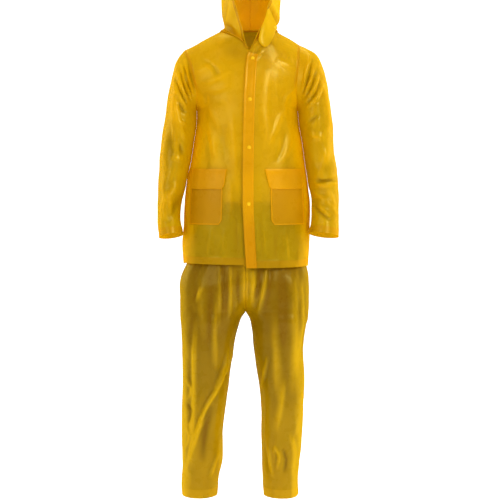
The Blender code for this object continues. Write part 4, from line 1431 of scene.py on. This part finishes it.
LEG_BACK = (
    (10, 90, 98, 98),
    (9, 90, 102, 102),
    (9, 90, 102, 102),
    (8, 90, 105, 105),
    (7, 90, 108, 108),
    (6, 90, 112, 112),
    (5, 90, 118, 118),
    (4, 90, 132, 132),
    (4, 90, 142, 142),
    (5, 90, 148, 150),
    (18, 86, 140, 146),
    (56, 64, 118, 126),
    (98, 34, 104, 92),
    (122, 10, 103, 85),
    (120, 4, 98, 74),
    (112, 0, 92, 66),
    (104, 0, 88, 62),
    (96, 0, 84, 58),
    (92, 0, 82, 56),
)
TROUSER_HEM = -1498
TROUSER_HEM_BAND = 29
TROUSER_HEM_SLACK = 0.5
LEG_PITCH, LEG_ACROSS = 5.0, 60


def leg(side, profile, facing):
    """One trouser panel, rows from the hem to the waistband, columns from right to left."""
    ends = ("in_right", "out_right") if side == RIGHT else ("in_left", "out_left")
    rows = []
    table = [place + shape for place, shape in zip(LEG, profile)]
    for size in by_name(table, LEG_COLUMNS + PROFILE_COLUMNS):
        y_out = size["y_in"] if size["lean"] == 90 else SIDE_Y
        inner = (size[ends[0]], size["y_in"], size["z_in"])
        outer = (size[ends[1]], y_out, size["z_out"])
        turn = math.radians(size["lean"])
        start = size["handle_in"] * np.array([side * math.cos(turn), facing * math.sin(turn), 0])
        rows.append(curve(inner, outer, start, np.array([0, facing * size["handle_out"], 0])))
    grid = spread(loft(rows, LEG_PITCH), LEG_ACROSS, SEAM_ALLOWANCE, SEAM_ALLOWANCE)
    return Panel(grid[:, ::-1] if side == RIGHT else grid, -facing)


# %% Leg creases
LEG_CREASES = {
    -1: (
        (((37, -735), (32, -790), (20, -850)), -5.5, 8, 1),
        (((56, -735), (44, -820), (26, -900)), 6, 8, -1),
        (((12, -745), (14, -820), (6, -880)), 4, 8, 1),
        (((-80, -730), (-82, -800), (-78, -880)), -4.5, 7, 1),
        (((-58, -730), (-58, -830), (-63, -910)), 6, 5.5, 1),
        (((-94, -735), (-93, -830), (-97, -940)), 3.5, 5, -1),
        (((-34, -735), (-36, -820), (-28, -880)), -4, 9, -1),
        (((-98, -820), (-109, -960), (-104, -1080)), 4.5, 9, 1),
        (((-150, -740), (-152, -880), (-146, -980)), 3, 14, -1),
        (((-166, -900), (-174, -1060), (-178, -1220), (-188, -1400)), 6, 7, 1),
        (((-144, -806), (-154, -826), (-164, -860)), 3.5, 5, 1),
        (((-40, -1000), (-94, -1124), (-140, -1205), (-166, -1275), (-202, -1410)), 6, 6, 1),
        (((-62, -1000), (-74, -1053), (-114, -1144)), 4, 5, 1),
        (((-144, -1232), (-166, -1284), (-186, -1350)), 4, 5, -1),
        (((-120, -1190), (-142, -1290), (-150, -1380)), -5, 14, 1),
        (((-99, -1345), (-112, -1390), (-126, -1432)), 4.5, 5, 1),
        (((-200, -1110), (-186, -1136), (-192, -1178)), 4, 5, 1),
        (((-204, -1180), (-184, -1210), (-192, -1254)), -4, 6, 1),
        (((-206, -1262), (-192, -1292), (-202, -1334)), 4, 5, -1),
        (((-84, -1300), (-92, -1370), (-88, -1440)), 4, 8, 1),
        (((139, -750), (143, -950), (138, -1160)), 5, 15, -1),
        (((108, -760), (112, -880), (106, -1010)), -2.5, 14, 1),
        (((168, -780), (172, -900), (164, -1020)), 4, 8, 1),
        (((78, -900), (84, -1040), (92, -1180)), 4, 14, -1),
        (((58, -1030), (48, -1090), (38, -1146)), 4, 5, -1),
        (((116, -1100), (104, -1190), (88, -1280)), 4, 10, 1),
        (((76, -1350), (84, -1326), (97, -1350), (92, -1404)), 4.5, 5, 1),
        (((108, -1330), (121, -1368), (114, -1414)), -4.5, 6, 1),
        (((64, -1326), (70, -1388), (80, -1432)), 4, 5, 1),
        (((130, -1280), (142, -1350), (132, -1424)), 4, 7, -1),
    ),
    1: (
        (((-120, -880), (-108, -970), (-100, -1060)), 6, 20, 1),
        (((104, -880), (96, -970), (90, -1060)), 6, 20, -1),
        (((-64, -1090), (-130, -1116), (-200, -1130)), -7, 15, 1),
        (((-72, -1130), (-140, -1160), (-204, -1166)), 5, 14, 1),
        (((44, -1100), (100, -1124), (160, -1140)), -7, 15, -1),
        (((48, -1140), (106, -1168), (166, -1174)), 5, 14, -1),
        (((-30, -800), (-100, -850), (-180, -860)), -6, 18, 1),
        (((10, -800), (84, -850), (160, -860)), -6, 18, -1),
        (((-120, -1220), (-150, -1320), (-160, -1440)), 5, 16, 1),
        (((90, -1220), (116, -1320), (120, -1440)), 5, 16, -1),
        (((-60, -700), (-66, -760), (-64, -840)), 6, 14, 1),
        (((46, -700), (52, -760), (50, -840)), 6, 14, -1),
    ),
}


# %% Gathers
GATHER_PITCH = 21
GATHER_HEIGHT = 2.6
GATHERS_TO, GATHERS_FROM = -770, -590
GATHER_PAINTED_LIGHT = 0.35
SWAYS = ((9, 47, 90), (5, 23, -60))


def gathered(panel):
    """The small upright folds that the elastic waist draws, fading out down the leg."""
    run = np.concatenate([np.zeros((panel.shape[0], 1)), np.cumsum(steps(panel.grid, 1), axis=1)], axis=1)
    z = panel.z
    sway = sum(size * np.sin(run / across + z / down) for size, across, down in SWAYS)
    waves = np.cos((run + sway) * 2 * math.pi / GATHER_PITCH)
    height = GATHER_HEIGHT * fade(z, GATHERS_TO, GATHERS_FROM) * waves
    # The gathers' crests are painted lighter and their troughs darker, as highlight and shade.
    return panel.remade(panel.moved_out(height), panel.lift + GATHER_PAINTED_LIGHT * height)


# %% Painted light and shade on the legs
SHIN_PAINTED_LIGHT, SHIN_LIGHT_Z = 0.3, (-1100, -1250)
THIGH_PAINTED_SHADE, THIGH_SHADE_Z = 0.3, (-1040, -950)
JACKET_PAINTED_SHADE, JACKET_SHADE_Z = 0.42, (-752, -727)
RISE_PAINTED_LIGHT, RISE_LIGHT_Z = 0.7, (-930, -870)
RISE_X, RISE_WIDTH = -11, 34
OUTER_PAINTED_LIGHT, INNER_PAINTED_LIGHT = 0.9, 0.4


def leg_freedom(panel, side):
    """Painted light and shade on a trouser panel: lighter at the sides, the lower leg and the rise, darker
    on the thighs and where the jacket covers it.
    """
    x, z = panel.x, panel.z
    below = SHIN_PAINTED_LIGHT * fade(z, *SHIN_LIGHT_Z)
    rise = np.exp(-(((x - RISE_X) / RISE_WIDTH) ** 2)) * fade(z, *RISE_LIGHT_Z) * RISE_PAINTED_LIGHT
    sides = OUTER_PAINTED_LIGHT * side_strips(panel, side) + INNER_PAINTED_LIGHT * side_strips(panel, -side)
    painted_shade = np.maximum(JACKET_PAINTED_SHADE * fade(z, *JACKET_SHADE_Z), THIGH_PAINTED_SHADE * fade(z, *THIGH_SHADE_Z))
    return np.clip(sides + below + rise, 0, 1) - painted_shade


def trouser_piece(node_name, panel, doubled=None, free=0.0):
    """A piece of the trousers' film, in place of its CAD node."""
    looks = {"free": free, "highlight_lift": TROUSER_HIGHLIGHT_LIFT}
    suit_piece(node_name, "film_trousers", panel, TROUSER_CLOTHS, doubled, **looks)


# %% Legs
legs = {}
for side, name in SIDES:
    for part, profile, facing in (("front", LEG_FRONT, -1), ("back", LEG_BACK, 1)):
        panel = gathered(creased(leg(side, profile, facing), LEG_CREASES[facing]))
        panel = crumpled(panel, "leg")
        bands = panel.z < TROUSER_HEM + TROUSER_HEM_BAND + TROUSER_HEM_SLACK
        bands |= end_bands(panel, start=True)
        trouser_piece(f"trouser_{part}_{name}", panel, bands, leg_freedom(panel, side))
        legs[part, side] = panel
print("leg rows:", legs["front", RIGHT].shape)

# %% [markdown]
# ## Waistband
#
# The jacket hides the gathered elastic waist, but from below and through the film it can be made
# out, so it has its gathers.

# %% Waistband
WAIST_HEIGHT = 32
WAIST_GATHERS = 44
GATHER_POINTS = 6
WAIST_RIPPLE = 1.8
WAIST_ROWS = 9
WAIST_OFF = 0.5


def waistband():
    """The ring of the gathered waist, above the trousers' top rows."""
    top = {key: panel.grid[-1] for key, panel in legs.items()}
    loop = [top["front", RIGHT], top["front", LEFT], top["back", LEFT][::-1], top["back", RIGHT][::-1]]
    path = np.concatenate([*loop, loop[0][:1]])
    ring = along(path, np.linspace(0, 1, GATHER_POINTS * WAIST_GATHERS, endpoint=False))
    ring[:, 2] = ring[:, 2].mean() + WAIST_OFF
    out = ring * (1, 1, 0)
    out /= np.linalg.norm(out, axis=1)[:, None]
    ripple = WAIST_RIPPLE * np.cos(np.arange(len(ring)) * 2 * math.pi / GATHER_POINTS)
    rows = []
    for share in np.linspace(0, 1, WAIST_ROWS):
        swell = math.sin(math.pi * share)
        rows.append(ring + out * (ripple * swell)[:, None] + (0, 0, share * WAIST_HEIGHT))
    return Panel(rows, 1, True)


trouser_piece("waistband", waistband())
print("waist gathers:", WAIST_GATHERS)

# %% [markdown]
# ## Welds
#
# Each seam is a narrow line where two films are melted together. It stands slightly proud and
# closes the gap between neighbouring panels.

# %% Weld ribs
WELD_WIDTH, NECK_WELD_WIDTH = 1.8, 5.0
WELD_HEIGHT = 0.4
WELD_OFF = 0.2
WELD_PROFILE = ((-0.5, 0.0), (-0.3, 1.0), (0.3, 1.0), (0.5, 0.0), (0.3, -0.7), (-0.3, -0.7))


def weld(name, path, lines, material, width=WELD_WIDTH):
    """A low rib along a path, with the cloth's outward line at each of its points."""
    path, lines = np.asarray(path), np.asarray(lines)
    run = np.gradient(path, axis=0)
    run /= np.maximum(np.linalg.norm(run, axis=1), TINY)[:, None]
    across = np.cross(run, lines)
    across /= np.maximum(np.linalg.norm(across, axis=1), TINY)[:, None]
    ring = []
    for place, height in WELD_PROFILE:
        ring.append(path + across * place * width + lines * (WELD_OFF + height * WELD_HEIGHT))
    points = np.stack(ring, axis=1).reshape(-1, 3)
    around = len(ring)
    ends = [range(around)[::-1], range(len(points) - around, len(points))]
    piece = add_piece(name, points, ring_faces(len(path), around) + ends, (material,))
    return piece


# %% Jacket welds
ARMHOLE_WELD_IN = 0.6
NECK_WELD_DOWN = 1.5
NECK_ROW = 2
CROWN_UPRIGHT = (0.2, 1, 1)
for side, name in SIDES:
    front, arm, cowl = fronts[side], sleeves[side], hoods[side]
    seam, out = front.grid[:, -1], front.lines()[:, -1]
    low = seam[:, 2] < ARMHOLE[side]["bottom"]
    weld(f"side_weld_{name}", seam[low], out[low], jacket_film)
    around = np.arange(-1, SLEEVE_ROUND) % SLEEVE_ROUND
    hole = arm.grid[0][around] - (side * ARMHOLE_WELD_IN, 0, 0)
    weld(f"armhole_weld_{name}", hole, arm.lines()[0][around], pocket_film)
    neck = cowl.grid[0] - (0, 0, NECK_WELD_DOWN)
    weld(f"neck_weld_{name}", neck, cowl.lines()[NECK_ROW], pocket_film, width=NECK_WELD_WIDTH)
    weld(f"shoulder_weld_{name}", front.grid[-1], front.lines()[-1], jacket_film)
crown = hoods[LEFT]
weld("crown_weld", crown.grid[:, -1], crown.lines()[:, -1] * CROWN_UPRIGHT, hood_film)

# %% Trouser welds
SEAT_WELD_FROM = -885
for side, name in SIDES:
    panel = legs["front", side]
    lines = panel.lines()
    for seam, column in zip(("outseam", "inseam"), (0, -1) if side == RIGHT else (-1, 0)):
        path, out = panel.grid[:, column], lines[:, column]
        weld(f"{seam}_weld_{name}", path, out, trouser_film)
panel = legs["back", LEFT]
rise = panel.grid[:, 0, 2] > SEAT_WELD_FROM
weld("seat_weld", panel.grid[rise, 0], panel.lines()[rise, 0], trouser_film)

# %% [markdown]
# ## What each sheet was cut to
#
# The suit is cut flat from film on a roll. The size of each panel's cut piece, with hems and seam
# allowances, is listed here, with an area for the main panels, and printed.

# %% Cut sizes
CUT_COLUMNS = ("width", "length", "area")
CUTS = {
    "jacket_front_right": (0.300, 0.780, 0.175),
    "jacket_front_left": (0.285, 0.790, 0.170),
    "jacket_back": (0.520, 0.790, 0.360),
    "sleeve_right": (0.520, 0.640, 0.270),
    "sleeve_left": (0.520, 0.650, 0.275),
    "hood_right": (0.330, 0.400, 0.110),
    "hood_left": (0.330, 0.400, 0.105),
    "trouser_front_right": (0.345, 0.960, 0.260),
    "trouser_front_left": (0.330, 0.960, 0.230),
    "trouser_back_right": (0.360, 0.960, 0.270),
    "trouser_back_left": (0.345, 0.960, 0.240),
    "waistband": (0.980, 0.034, None),
    "placket": (0.036, 0.680, None),
    "chin_flap": (0.055, 0.130, None),
    "pocket_right": (0.120, 0.175, None),
    "pocket_left": (0.120, 0.175, None),
    "pocket_flap_right": (0.130, 0.075, None),
    "pocket_flap_left": (0.130, 0.075, None),
}
for name, size in zip(CUTS, by_name(CUTS.values(), CUT_COLUMNS)):
    print(name, "cut, m:", size["width"], size["length"])
